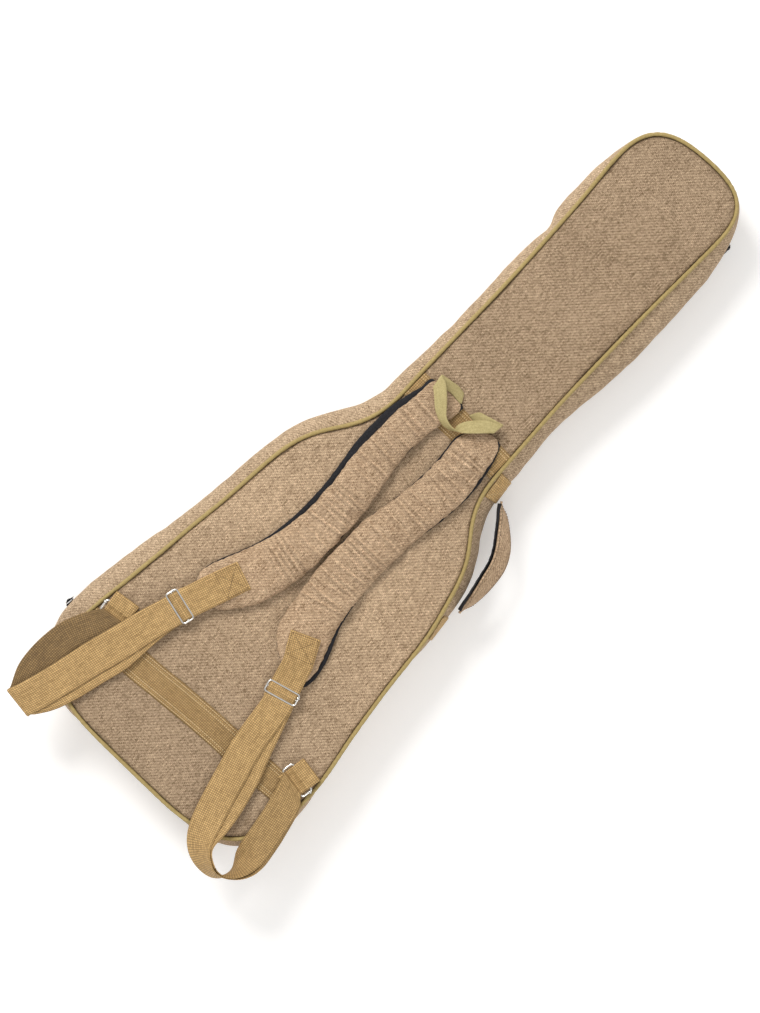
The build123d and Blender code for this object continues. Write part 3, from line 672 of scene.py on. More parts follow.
# darker copy of the strap webbing: painted shade on the right return, which lies under the leg
WEBBING_SHADED_RETURN = webbing_material("webbing_shaded_return", (0.62, 0.405, 0.172),
                                       (0.26, 0.155, 0.054))
BINDING = tape_material("binding_dark", (0.060, 0.055, 0.048), (0.020, 0.018, 0.016))
THREAD_BROWN = thread_material("thread_brown", (0.235, 0.140, 0.048), (0.13, 0.076, 0.026))
THREAD_DARK = thread_material("thread_dark", (0.16, 0.115, 0.07), (0.08, 0.055, 0.035))
THREAD_GOLD = thread_material("thread_gold", (0.78, 0.60, 0.34), (0.55, 0.40, 0.20))
THREAD_TAN = thread_material("thread_tan", (0.60, 0.47, 0.32), (0.36, 0.26, 0.16))
ZIP_TAPE = tape_material("zip_tape", (0.035, 0.035, 0.036), (0.010, 0.010, 0.010))
LOOP_TAPE = tape_material("loop_tape", (0.60, 0.51, 0.25), (0.36, 0.285, 0.115))
COIL = coil_material("zip_coil", (0.03, 0.03, 0.032), (0.01, 0.01, 0.011))


# =============================================================================
# Mesh building: a part is (vertices, faces, uv), all in millimetres
# =============================================================================
def set_uv(mesh, uv):
    layer = mesh.uv_layers.new(name="mm")
    index = np.zeros(len(mesh.loops), np.int32)
    mesh.loops.foreach_get("vertex_index", index)
    layer.data.foreach_set("uv", np.asarray(uv, np.float32)[index].ravel())


def mesh_object(name, part, material, slot, body=None, replaces=(), thickness=0.0,
                offset=-1.0):
    """Object from a part, riding on a body and standing in for frame pieces."""
    vertices, faces, uv = part
    mesh = bpy.data.meshes.new(name)
    mesh.from_pydata([tuple(p) for p in np.asarray(vertices, float) / 1000.0], [],
                     [tuple(int(i) for i in face) for face in faces])
    set_uv(mesh, uv)
    mesh.polygons.foreach_set("use_smooth", [True] * len(mesh.polygons))
    mesh.materials.append(material)
    mesh.update()
    obj = bpy.data.objects.new(name, mesh)
    bpy.context.scene.collection.objects.link(obj)
    if thickness:
        solidify = obj.modifiers.new("thick", "SOLIDIFY")
        solidify.thickness = thickness / 1000.0
        solidify.offset = offset
    if replaces:
        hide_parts(*replaces)
    if body:
        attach(obj, body)
    return obj


@contextmanager
def editing(mesh):
    bm = bmesh.new()
    bm.from_mesh(mesh)
    bm.verts.ensure_lookup_table()
    yield bm
    bm.to_mesh(mesh)
    bm.free()
    mesh.update()


def cap(bm, *loops):
    """Close openings given as loops of vertex indices."""
    for loop in loops:
        face = bm.faces.new([bm.verts[int(i)] for i in loop])
        bmesh.ops.triangulate(bm, faces=[face])


def face_outward(obj):
    with editing(obj.data) as bm:
        bmesh.ops.recalc_face_normals(bm, faces=bm.faces)


def weld(obj):
    with editing(obj.data) as bm:
        bmesh.ops.remove_doubles(bm, verts=bm.verts, dist=0.00005)
        bmesh.ops.dissolve_degenerate(bm, edges=bm.edges, dist=1e-6)


def bake(obj):
    """Replace the mesh by its result after modifiers."""
    depsgraph = bpy.context.evaluated_depsgraph_get()
    mesh = bpy.data.meshes.new_from_object(obj.evaluated_get(depsgraph))
    obj.modifiers.clear()
    obj.data = mesh
    return mesh


def read_points(mesh):
    points = np.empty(len(mesh.vertices) * 3)
    mesh.vertices.foreach_get("co", points)
    return points.reshape(-1, 3) * 1000.0


def write_points(mesh, points):
    mesh.vertices.foreach_set("co", (points / 1000.0).ravel())


def grid_uv(u, v):
    return np.stack(np.broadcast_arrays(u, v), -1).reshape(-1, 2)


def grid_faces(rows, columns, wrap=False, flip=False):
    """Faces of a grid stored as rows of points; wrap joins the last row to the first."""
    row, column = np.meshgrid(np.arange(rows if wrap else rows - 1), np.arange(columns - 1),
                              indexing="ij")
    a = row * columns + column
    b = ((row + 1) % rows) * columns + column
    faces = np.stack([a, b, b + 1, a + 1], -1).reshape(-1, 4)
    return (faces[:, ::-1] if flip else faces).tolist()


def tube_faces(rows, sides, closed=False, flip=False):
    """Faces of a closed section repeated over rows."""
    row, side = np.meshgrid(np.arange(rows if closed else rows - 1), np.arange(sides),
                            indexing="ij")
    here, there, turn = row * sides, (row + 1) % rows * sides, (side + 1) % sides
    faces = np.stack([here + side, there + side, there + turn, here + turn], -1)
    faces = faces.reshape(-1, 4)
    return (faces[:, [0, 3, 2, 1]] if flip else faces).tolist()


def end_caps(rows, sides):
    return [list(range(sides)), list(range((rows - 1) * sides, rows * sides))[::-1]]


def joined(parts):
    vertices, faces, uvs, count = [], [], [], 0
    for part_vertices, part_faces, part_uv in parts:
        vertices.append(part_vertices)
        uvs.append(part_uv)
        faces += [[i + count for i in face] for face in part_faces]
        count += len(part_vertices)
    return np.vstack(vertices), faces, np.vstack(uvs)


def tube(line, radius, sides=12, closed=True):
    """Round tube along a line; the radius may vary."""
    count = len(line)
    along = np.roll(line, -1, 0) - np.roll(line, 1, 0) if closed else np.gradient(line, axis=0)
    along /= np.linalg.norm(along, axis=1)[:, None]
    first = np.cross(along, UP_AXIS)
    upright = np.linalg.norm(first, axis=1) < 0.15
    first[upright] = np.cross(along[upright], np.array([1.0, 0, 0]))
    first /= np.linalg.norm(first, axis=1)[:, None]
    second = np.cross(first, along)
    angle = np.arange(sides) / sides * 2 * np.pi
    radius = np.broadcast_to(np.asarray(radius, float), (count,))
    spokes = (np.cos(angle)[None, :, None] * first[:, None, :]
              + np.sin(angle)[None, :, None] * second[:, None, :])
    vertices = line[:, None, :] + radius[:, None, None] * spokes
    faces = tube_faces(count, sides, closed, flip=True)
    if not closed:
        faces += end_caps(count, sides)
    uv = grid_uv(angle[None, :] * radius.mean(), run_length(line, closed)[:count, None])
    return vertices.reshape(-1, 3), faces, uv


def woven_band(centre, across, width, thickness, columns, selvedge, shoulder, ridge,
               ridge_width):
    """Closed band with rounded edges and a thicker selvedge.

    shoulder and ridge are places across the half width, where the rounding starts and
    where the selvedge is highest.
    """
    count = len(centre)
    normal = unit(np.cross(across, tangents(centre)))
    x = np.linspace(-1, 1, columns)
    rounding = np.clip((np.abs(x) - shoulder) / (1 - shoulder), 0, 1)
    top = (0.5 * thickness * np.sqrt(np.clip(1 - rounding ** 3, 0.02, 1))
           * (1 + selvedge * np.exp(-((np.abs(x) - ridge) / ridge_width) ** 2)))
    xs = np.concatenate([x, x[::-1]])
    zs = np.concatenate([top, -top[::-1]])
    sides = len(xs)
    vertices = (centre[:, None, :]
                + (xs[None, :, None] * width[:, None, None] / 2) * across[:, None, :]
                + zs[None, :, None] * normal[:, None, :])
    faces = tube_faces(count, sides)
    for base, step in ((0, 1), ((count - 1) * sides, -1)):
        for j in range(columns - 1):
            face = [base + j, base + j + 1, base + sides - 2 - j, base + sides - 1 - j]
            faces.append(face[::step])
    uv = grid_uv(xs[None, :] * width.mean() / 2, run_length(centre, False)[:, None])
    return vertices.reshape(-1, 3), faces, uv


def strap(edges, thickness, columns=17, selvedge=0.2):
    """Woven band between two edge lines, edges[0] and edges[1]."""
    across = edges[1] - edges[0]
    return woven_band((edges[0] + edges[1]) / 2, unit(across),
                      np.linalg.norm(across, axis=1), thickness, columns, selvedge,
                      shoulder=0.88, ridge=0.91, ridge_width=0.05)


def stitch_run(line, normals, pitch, radius):
    """A row of separate stitches along a line on a surface."""
    fill, sink, sides = 0.72, 0.1, 6
    places = np.array([0.0, 0.2, 0.5, 0.8, 1.0])            # along one stitch
    girth = np.array([0.25, 0.85, 1.0, 0.85, 0.25])         # in radii
    lift = np.array([-0.5, 0.35, 0.6, 0.35, -0.5])          # in radii
    run = run_length(line, False)
    count = max(int(run[-1] / pitch), 1)
    step = run[-1] / count
    angle = np.arange(sides) / sides * 2 * np.pi
    faces = tube_faces(5, sides) + end_caps(5, sides)
    stitches = []
    for i in range(count):
        at = (i + 0.5 * (1 - fill)) * step + places * fill * step
        centre = interp_rows(at, run, line)
        normal = interp_rows(at, run, normals)
        normal /= np.linalg.norm(normal, axis=1)[:, None]
        along = centre[-1] - centre[0]
        along /= max(np.linalg.norm(along), 1e-9)
        side = np.cross(along, normal)
        side /= np.linalg.norm(side, axis=1)[:, None]
        centre = centre + normal * (lift * radius - sink)[:, None]
        spokes = (np.cos(angle)[None, :, None] * side[:, None, :]
                  + np.sin(angle)[None, :, None] * normal[:, None, :])
        points = centre[:, None, :] + (girth * radius)[:, None, None] * spokes
        points = points.reshape(-1, 3)
        stitches.append((points, faces, points[:, :2]))
    return joined(stitches)


def middle_x(ring, y):
    """Middle of an outline at height y, or 0 where it is not crossed."""
    following = np.roll(ring, -1, 0)
    crossed = (ring[:, 1] > y) != (following[:, 1] > y)
    start, step = ring[crossed], (following - ring)[crossed]
    x = start[:, 0] + (y - start[:, 1]) / (step[:, 1] + 1e-9) * step[:, 0]
    return 0.5 * (x.min() + x.max()) if len(x) > 1 else 0.0


def leaf(ring, low, high, rows):
    """Rows of plan points from an outline to a spine up its middle, and their depths."""
    first = np.array([0, 0.7, 1.6, 2.8, 4.5, 7.0, 10.0, 14.0])      # fine rows at the edge
    spine_step = 3.0            # both sides meet in the same points of the spine
    ys = np.linspace(ring[:, 1].min() + 1, ring[:, 1].max() - 1, 400)
    middle = box_smooth(np.array([middle_x(ring, y) for y in ys]), 14)
    y = np.clip(ring[:, 1], low, high)
    y = np.round((y - low) / spine_step) * spine_step + low
    direction = np.stack([np.interp(y, ys, middle), y], 1) - ring
    length = np.linalg.norm(direction, axis=1)
    direction = direction / np.maximum(length, 1e-6)[:, None]
    points, depths = [], []
    for row in range(rows):
        if row < len(first):
            depth = np.minimum(first[row], length * (0.02 + 0.9 * row / rows))
        else:
            start = np.minimum(first[-1], length * 0.5)
            depth = lerp(start, length, (row - len(first) + 1) / (rows - len(first)))
        points.append(ring + direction * depth[:, None])
        depths.append(depth)
    return np.stack(points, 1).reshape(-1, 2), np.stack(depths, 1).reshape(-1)


def filled_outline(name, ring, spine, rows, height, material, slot, body, replaces,
                   flip=True, thickness=0.0):
    """Panel filling an outline; height(plan points, depth from the edge) gives its z."""
    plan, depth = leaf(ring, *spine, rows)
    part = (np.column_stack([plan, height(plan, depth)]),
            grid_faces(len(ring), rows, wrap=True, flip=flip), plan)
    weld(mesh_object(name, part, material, slot, body, replaces, thickness))


def spline_rows(controls):
    """Fine rows of a wall through control rows of shape (ring, level, 3)."""
    spacing = 1.9
    last = controls.shape[1] - 1
    out = []
    for i in range(last):
        span = [controls[:, k] for k in (max(i - 1, 0), i, i + 1, min(i + 2, last))]
        length = np.linalg.norm(span[2] - span[1], axis=1).mean()
        steps = max(int(round(length / spacing)), 2)
        out += [spline_span(*span, j / steps) for j in range(steps)]
    out.append(controls[:, -1])
    return np.stack(out, 1)


# =============================================================================
# Dense outlines of the shells
# =============================================================================
WIDE_RING = gauss_ring(resample(BULGE, RING_POINTS), 3.0)
_dense_seam = resample(SEAM, 5000)
SEAM_RING = gauss_ring(_dense_seam[nearest(WIDE_RING, _dense_seam)[0]], 7.0)
RIM_RING = inset(WIDE_RING, RIM_INSET)
PANEL_EDGE = inset(SEAM_RING, 2.1)
INWARD = left_normals(WIDE_RING)
GIRTH = run_length(WIDE_RING)[-1]
RING_RUN = run_length(WIDE_RING)[:RING_POINTS]
SEAM_RUN = run_length(SEAM_RING)[:RING_POINTS]


# =============================================================================
# Back and front shells
# =============================================================================
def panel_z(plan):
    """Top of the back panel: slow dents, pressed down under the sewn bands."""
    z = (BACK_Z - 0.2 + (0.75 + 1.3 * smoothstep(400, 470, plan[:, 1]))
         * soft_noise(plan, 150, 11) + 0.42 * soft_noise(plan, 60, 12)
         + 0.16 * soft_noise(plan, 24, 13))
    for path in (LOW_BAND, UP_BAND):
        distance = line_distance(plan, path)
        under = 0.7 * (1 - smoothstep(16.0, 24.0, distance))
        z = z * (1 - under) + (BACK_Z - 0.9) * under
        z -= (0.8 * np.exp(-((distance - 17.5) / 3.2) ** 2)
              * (0.7 + 0.5 * soft_noise(plan, 9, 14)))
        z += 0.45 * np.exp(-((distance - 27) / 6.0) ** 2) * soft_noise(plan, 13, 15)
    return z


def edge_roll(depth):
    """How the back panel turns down to its seam."""
    return -3.4 * np.exp(-depth / 2.2) - 1.2 * np.exp(-depth / 9.0)


def back_panel():
    rows = 74

    def height(plan, depth):
        run = np.repeat(SEAM_RUN, rows)
        pucker = (ring_noise(run, GIRTH, 11.0, 21) * np.exp(-depth / 9.0) * 0.75
                  + ring_noise(run, GIRTH, 5.0, 22) * np.exp(-depth / 4.0) * 0.35)
        return panel_z(plan) + edge_roll(depth) + pucker * (1 - np.exp(-depth / 2.0))

    filled_outline("back_panel_canvas", PANEL_EDGE, SPINE, rows, height, CANVAS, "canvas",
                   "back_shell", ("back_panel", "back_foam"), flip=False, thickness=1.2)


def shell_wall(name, rows, bulge, body, replaces):
    """Side wall of a shell from its rows, pushed outward by bulge."""
    rows[:, :, :2] -= INWARD[:, None, :] * bulge[:, :, None]
    part = (rows.reshape(-1, 3),
            grid_faces(RING_POINTS, rows.shape[1], wrap=True, flip=True),
            grid_uv(RING_RUN[:, None], row_lengths(rows)))
    mesh_object(name, part, CANVAS_SIDE, "canvas", body, replaces, thickness=1.2)


def back_wall():
    """Side wall of the back shell; returns its grid of points for the handle patches."""
    rows = spline_rows(np.stack([at_height(ring, z) for ring, z in (
        (inset(SEAM_RING, 0.3), 86.2),
        (lerp(inset(SEAM_RING, -1.6), WIDE_RING, 0.05), 85.2),
        (lerp(SEAM_RING, WIDE_RING, 0.5), 80.5),
        (lerp(SEAM_RING, WIDE_RING, 0.88), 72.0),
        (inset(WIDE_RING, -0.2), 62.0),
        (lerp(WIDE_RING, inset(RIM_RING, -1.4), 0.42), 51.0),
        (inset(RIM_RING, -1.9), 43.5), (inset(RIM_RING, -1.7), 39.6),
        (inset(RIM_RING, -0.6), 38.6))], 1))
    z = rows[:, :, 2]
    angle = np.broadcast_to((RING_RUN / GIRTH * 2 * np.pi)[:, None], z.shape).ravel()
    drum = GIRTH / 6.283        # the folds are sampled on a drum of about the same girth

    def folds(z_scale, wavelength, seed):
        points = np.column_stack([np.cos(angle) * drum, np.sin(angle) * drum,
                                  z.ravel() * z_scale])
        return soft_noise(points, wavelength, seed).reshape(z.shape)

    middle = np.sin(np.clip((z - 39) / 47.5, 0, 1) * np.pi) ** 0.7
    near_top = np.exp(-(86.5 - z) / 6.0)
    near_zip = np.exp(-(z - 39.0) / 6.0)
    puckers = (ring_noise(RING_RUN, GIRTH, 10.0, 33)[:, None] * 0.9 * near_top
               + ring_noise(RING_RUN, GIRTH, 13.0, 34)[:, None] * 0.6 * near_zip)
    bulge = ((0.75 * folds(1.6, 95, 31) + 0.38 * folds(1.2, 34, 32)) * middle
             + puckers * smoothstep(0, 0.12, middle))
    shell_wall("back_wall_canvas", rows, bulge, "back_shell", ("back_wall", "back_wall_foam"))
    return rows


def front_wall():
    rows = spline_rows(level_rows(RIM_RING, (
        (-0.6, 33.4), (-1.7, 32.6), (-1.9, 28.5), (-2.2, 22.0), (-1.5, 16.8), (0.2, 15.2))))
    middle = np.sin(np.clip((rows[:, :, 2] - 15.5) / 17.6, 0, 1) * np.pi) ** 0.7
    folds = (0.8 * ring_noise(RING_RUN, GIRTH, 70.0, 51)
             + 0.5 * ring_noise(RING_RUN, GIRTH, 17.0, 52))
    shell_wall("front_wall_canvas", rows, folds[:, None] * middle, "front_shell",
               ("front_wall", "front_wall_foam"))


def front_panel():
    def height(plan, depth):
        return 12.6 - 0.35 * soft_noise(plan, 60, 53) + 2.6 * np.exp(-depth / 2.2)

    filled_outline("front_panel_canvas", inset(RIM_RING, 2.2), SPINE, 40, height, CANVAS,
                   "canvas", "front_shell", ("front_panel", "front_foam"), thickness=1.2)


def piping(shell, ring, z, radius, waver, seed):
    count = 2000
    line = resample(at_height(ring, z), count, raw=True)
    radius = radius + waver * ring_noise(np.linspace(0, GIRTH, count), GIRTH, 8.0, seed)
    mesh_object(shell + "_piping_cord", tube(line, radius), CORD, "piping",
                shell + "_shell", (shell + "_piping",))


back_panel()
BACK_WALL_GRID = back_wall()
piping("back", SEAM_RING, 88.7 + 0.25 * ring_noise(SEAM_RUN, GIRTH, 60, 41),
       radius=2.45, waver=0.12, seed=42)
front_wall()
front_panel()
piping("front", inset(RIM_RING, -0.2), 13.4, radius=2.4, waver=0.1, seed=43)

# =============================================================================
# Main zip: tape, coil, cloth hinge and topstitching
# =============================================================================
HINGE_POINTS = np.nonzero((WIDE_RING[:, 0] > 100) & (WIDE_RING[:, 1] > HINGE_Y[0])
                          & (WIDE_RING[:, 1] < HINGE_Y[1]))[0]
# the zip runs all round but for the hinge
ZIP_POINTS = (HINGE_POINTS.max()
              + np.arange(RING_POINTS - len(HINGE_POINTS) + 2)) % RING_POINTS
ZIP_RUN = run_length(RIM_RING[ZIP_POINTS], False)

# (inset, height) of the rows of each tape
ZIP_TAPE_LEVELS = {
    "back": [(0.5, 44.2), (0.4, 42), (0.2, 40), (-0.5, 38.9), (-1.3, 37.9), (-1.4, 36.3)],
    "front": [(-1.4, 35.7), (-1.3, 34.1), (-0.5, 33.2), (0.2, 32), (0.4, 30), (0.5, 27.6)],
}


def zip_tape(shell):
    rows = level_rows(RIM_RING, ZIP_TAPE_LEVELS[shell])[ZIP_POINTS]
    part = (rows.reshape(-1, 3), grid_faces(*rows.shape[:2], flip=True),
            grid_uv(row_lengths(rows), ZIP_RUN[:, None]))
    mesh_object(shell + "_zip_tape_strip", part, ZIP_TAPE, "zip_tape", shell + "_shell",
                (shell + "_zip_tape",), thickness=0.7)


def zip_coil(shell, sign):
    """Row of teeth; every third point swells into a tooth reaching over the middle."""
    step = 0.95
    count = int(ZIP_RUN[-1] / step)
    line = interp_rows(np.linspace(0, ZIP_RUN[-1], count), ZIP_RUN,
                       inset(RIM_RING, -2.4)[ZIP_POINTS])
    tooth = (np.arange(count) % 3 == (0 if sign > 0 else 1)).astype(float)
    line = at_height(line, ZIP_Z + sign * 0.95 - sign * 0.35 * tooth)
    mesh_object(shell + "_zip_teeth", tube(line, 0.62 + 0.42 * tooth, 8, closed=False), COIL,
                "zip_coil", shell + "_shell", (shell + "_zip_coil",))


def cloth_hinge():
    """Cloth on the right side, bending between the two shells."""
    points = np.arange(HINGE_POINTS.min() - 6, HINGE_POINTS.max() + 8) % RING_POINTS
    run = run_length(RIM_RING[points], False)
    heights = np.linspace(28.5, 43.5, 16)
    rows = []
    for z in heights:
        out = 3.1 - 0.9 * abs(z - ZIP_Z) / 7.5
        wave = -0.4 * soft_noise(np.column_stack([run, np.full(len(run), z)]), 28, 61) * 0.6
        rows.append(at_height(inset(RIM_RING, -out)[points] + INWARD[points] * wave[:, None],
                              z))
    part = (np.stack(rows, 1).reshape(-1, 3), grid_faces(len(points), len(heights)),
            grid_uv(run[:, None], heights[None, :]))
    hinge = mesh_object("hinge_cloth", part, CANVAS_SIDE, "canvas", thickness=1.1, offset=0.0)
    bake(hinge)
    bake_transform(hinge)


def zip_stitches(shell, z):
    line = at_height(inset(RIM_RING, -2.35)[ZIP_POINTS], z)
    part = stitch_run(line, at_height(-INWARD[ZIP_POINTS], 0.0), pitch=4.2, radius=0.32)
    mesh_object(shell + "_zip_stitches", part, THREAD_TAN, "canvas", shell + "_shell")


zip_tape("back")
zip_tape("front")
zip_coil("back", 1)
zip_coil("front", -1)
cloth_hinge()
zip_stitches("back", 45.6)
zip_stitches("front", 26.2)


# =============================================================================
# Bands sewn across the back
# =============================================================================
def sewn_band(name, path, width):
    count = 240
    line = resample(path, 260, closed=False)
    seam_distance = nearest(line, PANEL_EDGE)[1]
    line = line[inside(PANEL_EDGE, line) & (seam_distance > 0.4)]
    line = resample(line, count, closed=False, raw=True)
    side = at_height(-left_normals(line, closed=False), 0.0)
    surface = panel_z(line) + edge_roll(nearest(line, PANEL_EDGE)[1])
    centre = at_height(line, surface + 0.95 + 0.15 * soft_noise(line, 30, 71))
    along = tangents(centre)
    across = unit(side - (side * along).sum(1)[:, None] * along)
    part = woven_band(centre, across, width + 0.5 * soft_noise(line, 60, 72), STRAP_THICK,
                      columns=21, selvedge=0.22, shoulder=0.86, ridge=0.9, ridge_width=0.06)
    # the bands take the darker webbing copy: painted shade
    mesh_object(name + "_webbing", part, WEBBING_SHADED_BAND, "webbing", "back_shell", (name,))
    up = np.cross(side, along)
    stitches = [stitch_run(centre + side * place + up * (STRAP_THICK / 2 + 0.05), up,
                           pitch=3.3, radius=0.62)
                for place in (-width / 2 + 2.6, -width / 2 + 7.0,
                              width / 2 - 2.6, width / 2 - 7.0)]
    mesh_object(name + "_stitches", joined(stitches), THREAD_GOLD, "webbing", "back_shell")


sewn_band("lower_band", LOW_BAND, 37.5)
sewn_band("upper_band", UP_BAND, 38.0)


# =============================================================================
# Shoulder pads: cover swollen by cloth simulation, black backing
# =============================================================================
PAD_BASE = 94.0                 # underside of the covers


def even_outline(outline, spacing):
    count = int(run_length(catmull(outline, 8))[-1] / spacing)
    return anticlockwise(resample(outline, count))


def pad_axis(outline):
    """Points down the middle of a pad outline."""
    ring = resample(outline, 400)
    points = []
    for y in np.linspace(ring[:, 1].max() - 2, ring[:, 1].min() + 2, 12):
        x = ring[np.abs(ring[:, 1] - y) < 4][:, 0]
        points.append((0.5 * (x.min() + x.max()), y))
    return points


def pad_slab(name, ring, top):
    """Closed rounded slab inside an outline, ready for remeshing."""
    count = len(ring)
    base = gauss_ring(inset(ring, 1.6), 1.5)
    height = top - PAD_BASE
    levels = [(0.0, PAD_BASE), (0.0, PAD_BASE + 1.5), (0.4, PAD_BASE + 0.45 * height),
              (2.2, PAD_BASE + 0.8 * height), (5.5, top - 0.4), (8.5, top)]
    rows = [at_height(gauss_ring(inset(base, step), 1.0 + step * 0.5), z)
            for step, z in levels]
    mesh = bpy.data.meshes.new(name)
    mesh.from_pydata([tuple(p) for p in np.concatenate(rows) / 1000.0], [],
                     tube_faces(len(levels), count, flip=True))
    with editing(mesh) as bm:
        cap(bm, range(count)[::-1], range((len(levels) - 1) * count, len(levels) * count))
    obj = bpy.data.objects.new(name, mesh)
    bpy.context.scene.collection.objects.link(obj)
    return obj


def remesh(obj, voxel):
    modifier = obj.modifiers.new("remesh", "REMESH")
    modifier.mode = "VOXEL"
    modifier.voxel_size = voxel
    modifier.use_smooth_shade = True
    return bake(obj)


def swell(obj, rest):
    """Points of the pad after a short cloth simulation under pressure."""
    frames, largest_move = 20, 5.0
    # the sewn top end and the underside are held
    hold = np.clip(smoothstep(342, 352, rest[:, 1]) + smoothstep(95.4, 94.6, rest[:, 2]), 0, 1)
    group = obj.vertex_groups.new(name="hold")
    for i in np.nonzero(hold > 0.01)[0]:
        group.add([int(i)], float(hold[i]), "REPLACE")
    cloth = obj.modifiers.new("cloth", "CLOTH")
    settings = cloth.settings
    settings.quality = 6
    settings.mass = 0.25
    settings.tension_stiffness = settings.compression_stiffness = 12
    settings.shear_stiffness = 6
    settings.bending_stiffness = 0.6
    settings.use_pressure = True
    settings.uniform_pressure_force = 4.0
    settings.vertex_group_mass = "hold"
    settings.shrink_min = -0.035
    settings.effector_weights.gravity = 0
    cloth.collision_settings.use_self_collision = False
    cloth.collision_settings.use_collision = False
    cloth.point_cache.frame_start, cloth.point_cache.frame_end = 1, frames
    scene = bpy.context.scene
    for number in range(1, frames + 1):
        scene.frame_set(number)
    evaluated = obj.evaluated_get(bpy.context.evaluated_depsgraph_get())
    swollen = read_points(evaluated.to_mesh())
    evaluated.to_mesh_clear()
    obj.modifiers.clear()
    scene.frame_set(1)
    move = swollen - rest
    length = np.linalg.norm(move, axis=1)
    return rest + move * np.minimum(1, largest_move / np.maximum(length, 1e-9))[:, None]


def pad_ridges(along, across, length, rng):
    """Irregular pressed ridges across a pad."""
    ridges = np.zeros(len(along))
    place = 34.0
    while place < length - 95:
        height = rng.uniform(0.5, 1.1)
        lean = rng.uniform(-0.10, 0.10)
        half = rng.uniform(24, 40)
        middle = rng.uniform(-5, 5)
        offset = along - (place + lean * across)
        crest = (1.25 * np.exp(-(offset / 1.5) ** 2)
                 - 0.95 * np.exp(-((offset - 3.4) / 2.3) ** 2)
                 - 0.45 * np.exp(-((offset + 3.6) / 2.6) ** 2))
        ridges += height * crest * np.exp(-((across - middle) / half) ** 4)
        place += rng.choice([7.0, 8.0, 13.0, 19.0, 24.0]) + rng.uniform(-0.8, 0.8)
    return ridges


def pad_cover(side, outline, axis_points, seed):
    """Ridged canvas cover; returns its points."""
    axis = resample(axis_points, 300, closed=False)
    axis_run = run_length(axis, False)
    ring = even_outline(outline, 3.0)
    obj = pad_slab(side + "_pad_canvas", ring, 103.8)
    bpy.context.view_layer.objects.active = obj
    mesh = remesh(obj, 0.0036)
    points = swell(obj, read_points(mesh))
    write_points(mesh, points)
    mesh.update()
    subdivide = obj.modifiers.new("sub", "SUBSURF")
    subdivide.levels = subdivide.render_levels = 2
    mesh = bake(obj)
    points = read_points(mesh)

    index = nearest(points, axis)[0]
    side_axis = left_normals(axis, closed=False)[index]
    across = ((points[:, :2] - axis[index]) * side_axis).sum(1)
    upper = smoothstep(96.5, 101.5, points[:, 2])
    ridge = pad_ridges(axis_run[index], across, axis_run[-1], np.random.default_rng(seed))
    lump = 0.55 * soft_noise(points, 46, seed + 1) + 0.28 * soft_noise(points, 17, seed + 2)
    edge_index, depth = nearest(points, ring)
    points[:, 2] += upper * (ridge * smoothstep(1, 7, depth) + lump * smoothstep(0, 9, depth))
    # painted highlight on the ridge crests and painted shade in their hollows, kept as the
    # ridge attribute
    ridge_shade_tint = np.clip(ridge * upper * smoothstep(0, 5, depth), -1, 1)
    # the cover rolls over its own seam and hides most of the backing
    if side == "right":
        overhang = 1.9 + 1.7 * smoothstep(215, 260, points[:, 1])
    else:
        overhang = 1.9 + 0.9 * smoothstep(330, 352, points[:, 1])
    roll = overhang * np.exp(-(depth / 9.0) ** 2)
    points[:, :2] -= left_normals(ring)[edge_index] * roll[:, None]
    # the sewn top end lies flat and thin
    flat = smoothstep(338, 352, points[:, 1])
    thin = PAD_BASE + (points[:, 2] - PAD_BASE) * 0.34
    points[:, 2] = np.minimum(points[:, 2] * (1 - flat) + flat * thin, 107.6)
    write_points(mesh, points)

    drop = np.sign(across) * (103 - np.minimum(points[:, 2], 103)) * 0.6
    set_uv(mesh, points[:, :2] + side_axis * drop[:, None])
    mesh.materials.clear()
    mesh.materials.append(CANVAS_PAD)
    mesh.polygons.foreach_set("use_smooth", [True] * len(mesh.polygons))
    # attribute carrying the painted ridge highlight and shade
    ridge_shade_attribute = mesh.attributes.new("ridge", "FLOAT", "POINT")
    ridge_shade_attribute.data.foreach_set("value", ridge_shade_tint.astype(np.float32))
    mesh.update()
    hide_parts(side + "_pad_cover", side + "_pad_foam")
    side + "_strap"
    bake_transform(obj)
    return points


def pad_backing(side, outline, seed):
    """Black padded backing, showing along part of the pad's outer edge."""
    ring = even_outline(outline, 2.4)
    x, y = ring.T
    if side == "left":
        shown = (x < -50) * smoothstep(70, 115, y) * smoothstep(366, 352, y)
    else:
        shown = np.maximum((x > 50) * smoothstep(80, 35, y) * smoothstep(-30, -15, y),
                           0.45 * (x > 50) * smoothstep(205, 240, y)
                           * smoothstep(345, 325, y))
    shown = box_smooth(shown, 6, mode="wrap")
    ring = inset(ring, 2.3 * (1 - shown))
    count = len(ring)
    run = run_length(ring)
    waver = 0.175 * ring_noise(run[:count], run[-1], 14, seed + 5)
    rows = level_rows(ring, [(3.0, 92.15), (0.9, 92.2), (0.1, 92.6), (-0.1 + waver, 93.3),
                             (0.3 + waver, 94.3), (1.3, 95.2), (3.2, 95.5), (6.0, 95.3)])
    levels = rows.shape[1]
    part = (rows.reshape(-1, 3), grid_faces(count, levels, wrap=True),
            grid_uv(row_lengths(rows), run[:count, None]))
    obj = mesh_object(side + "_pad_backing_mesh", part, MESH, "mesh",
                      replaces=(side + "_pad_backing",))
    with editing(obj.data) as bm:
        first = np.arange(count) * levels
        cap(bm, first[::-1], first + levels - 1)
        # cross cuts across the backing, every 6 mm from y 263 to 357
        for y_cut in np.arange(0.263, 0.359, 0.006):
            bmesh.ops.bisect_plane(bm, geom=bm.verts[:] + bm.edges[:] + bm.faces[:],
                                   plane_co=(0, float(y_cut), 0), plane_no=(0, 1, 0))
        bmesh.ops.recalc_face_normals(bm, faces=bm.faces)
    side + "_strap"
    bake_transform(obj)


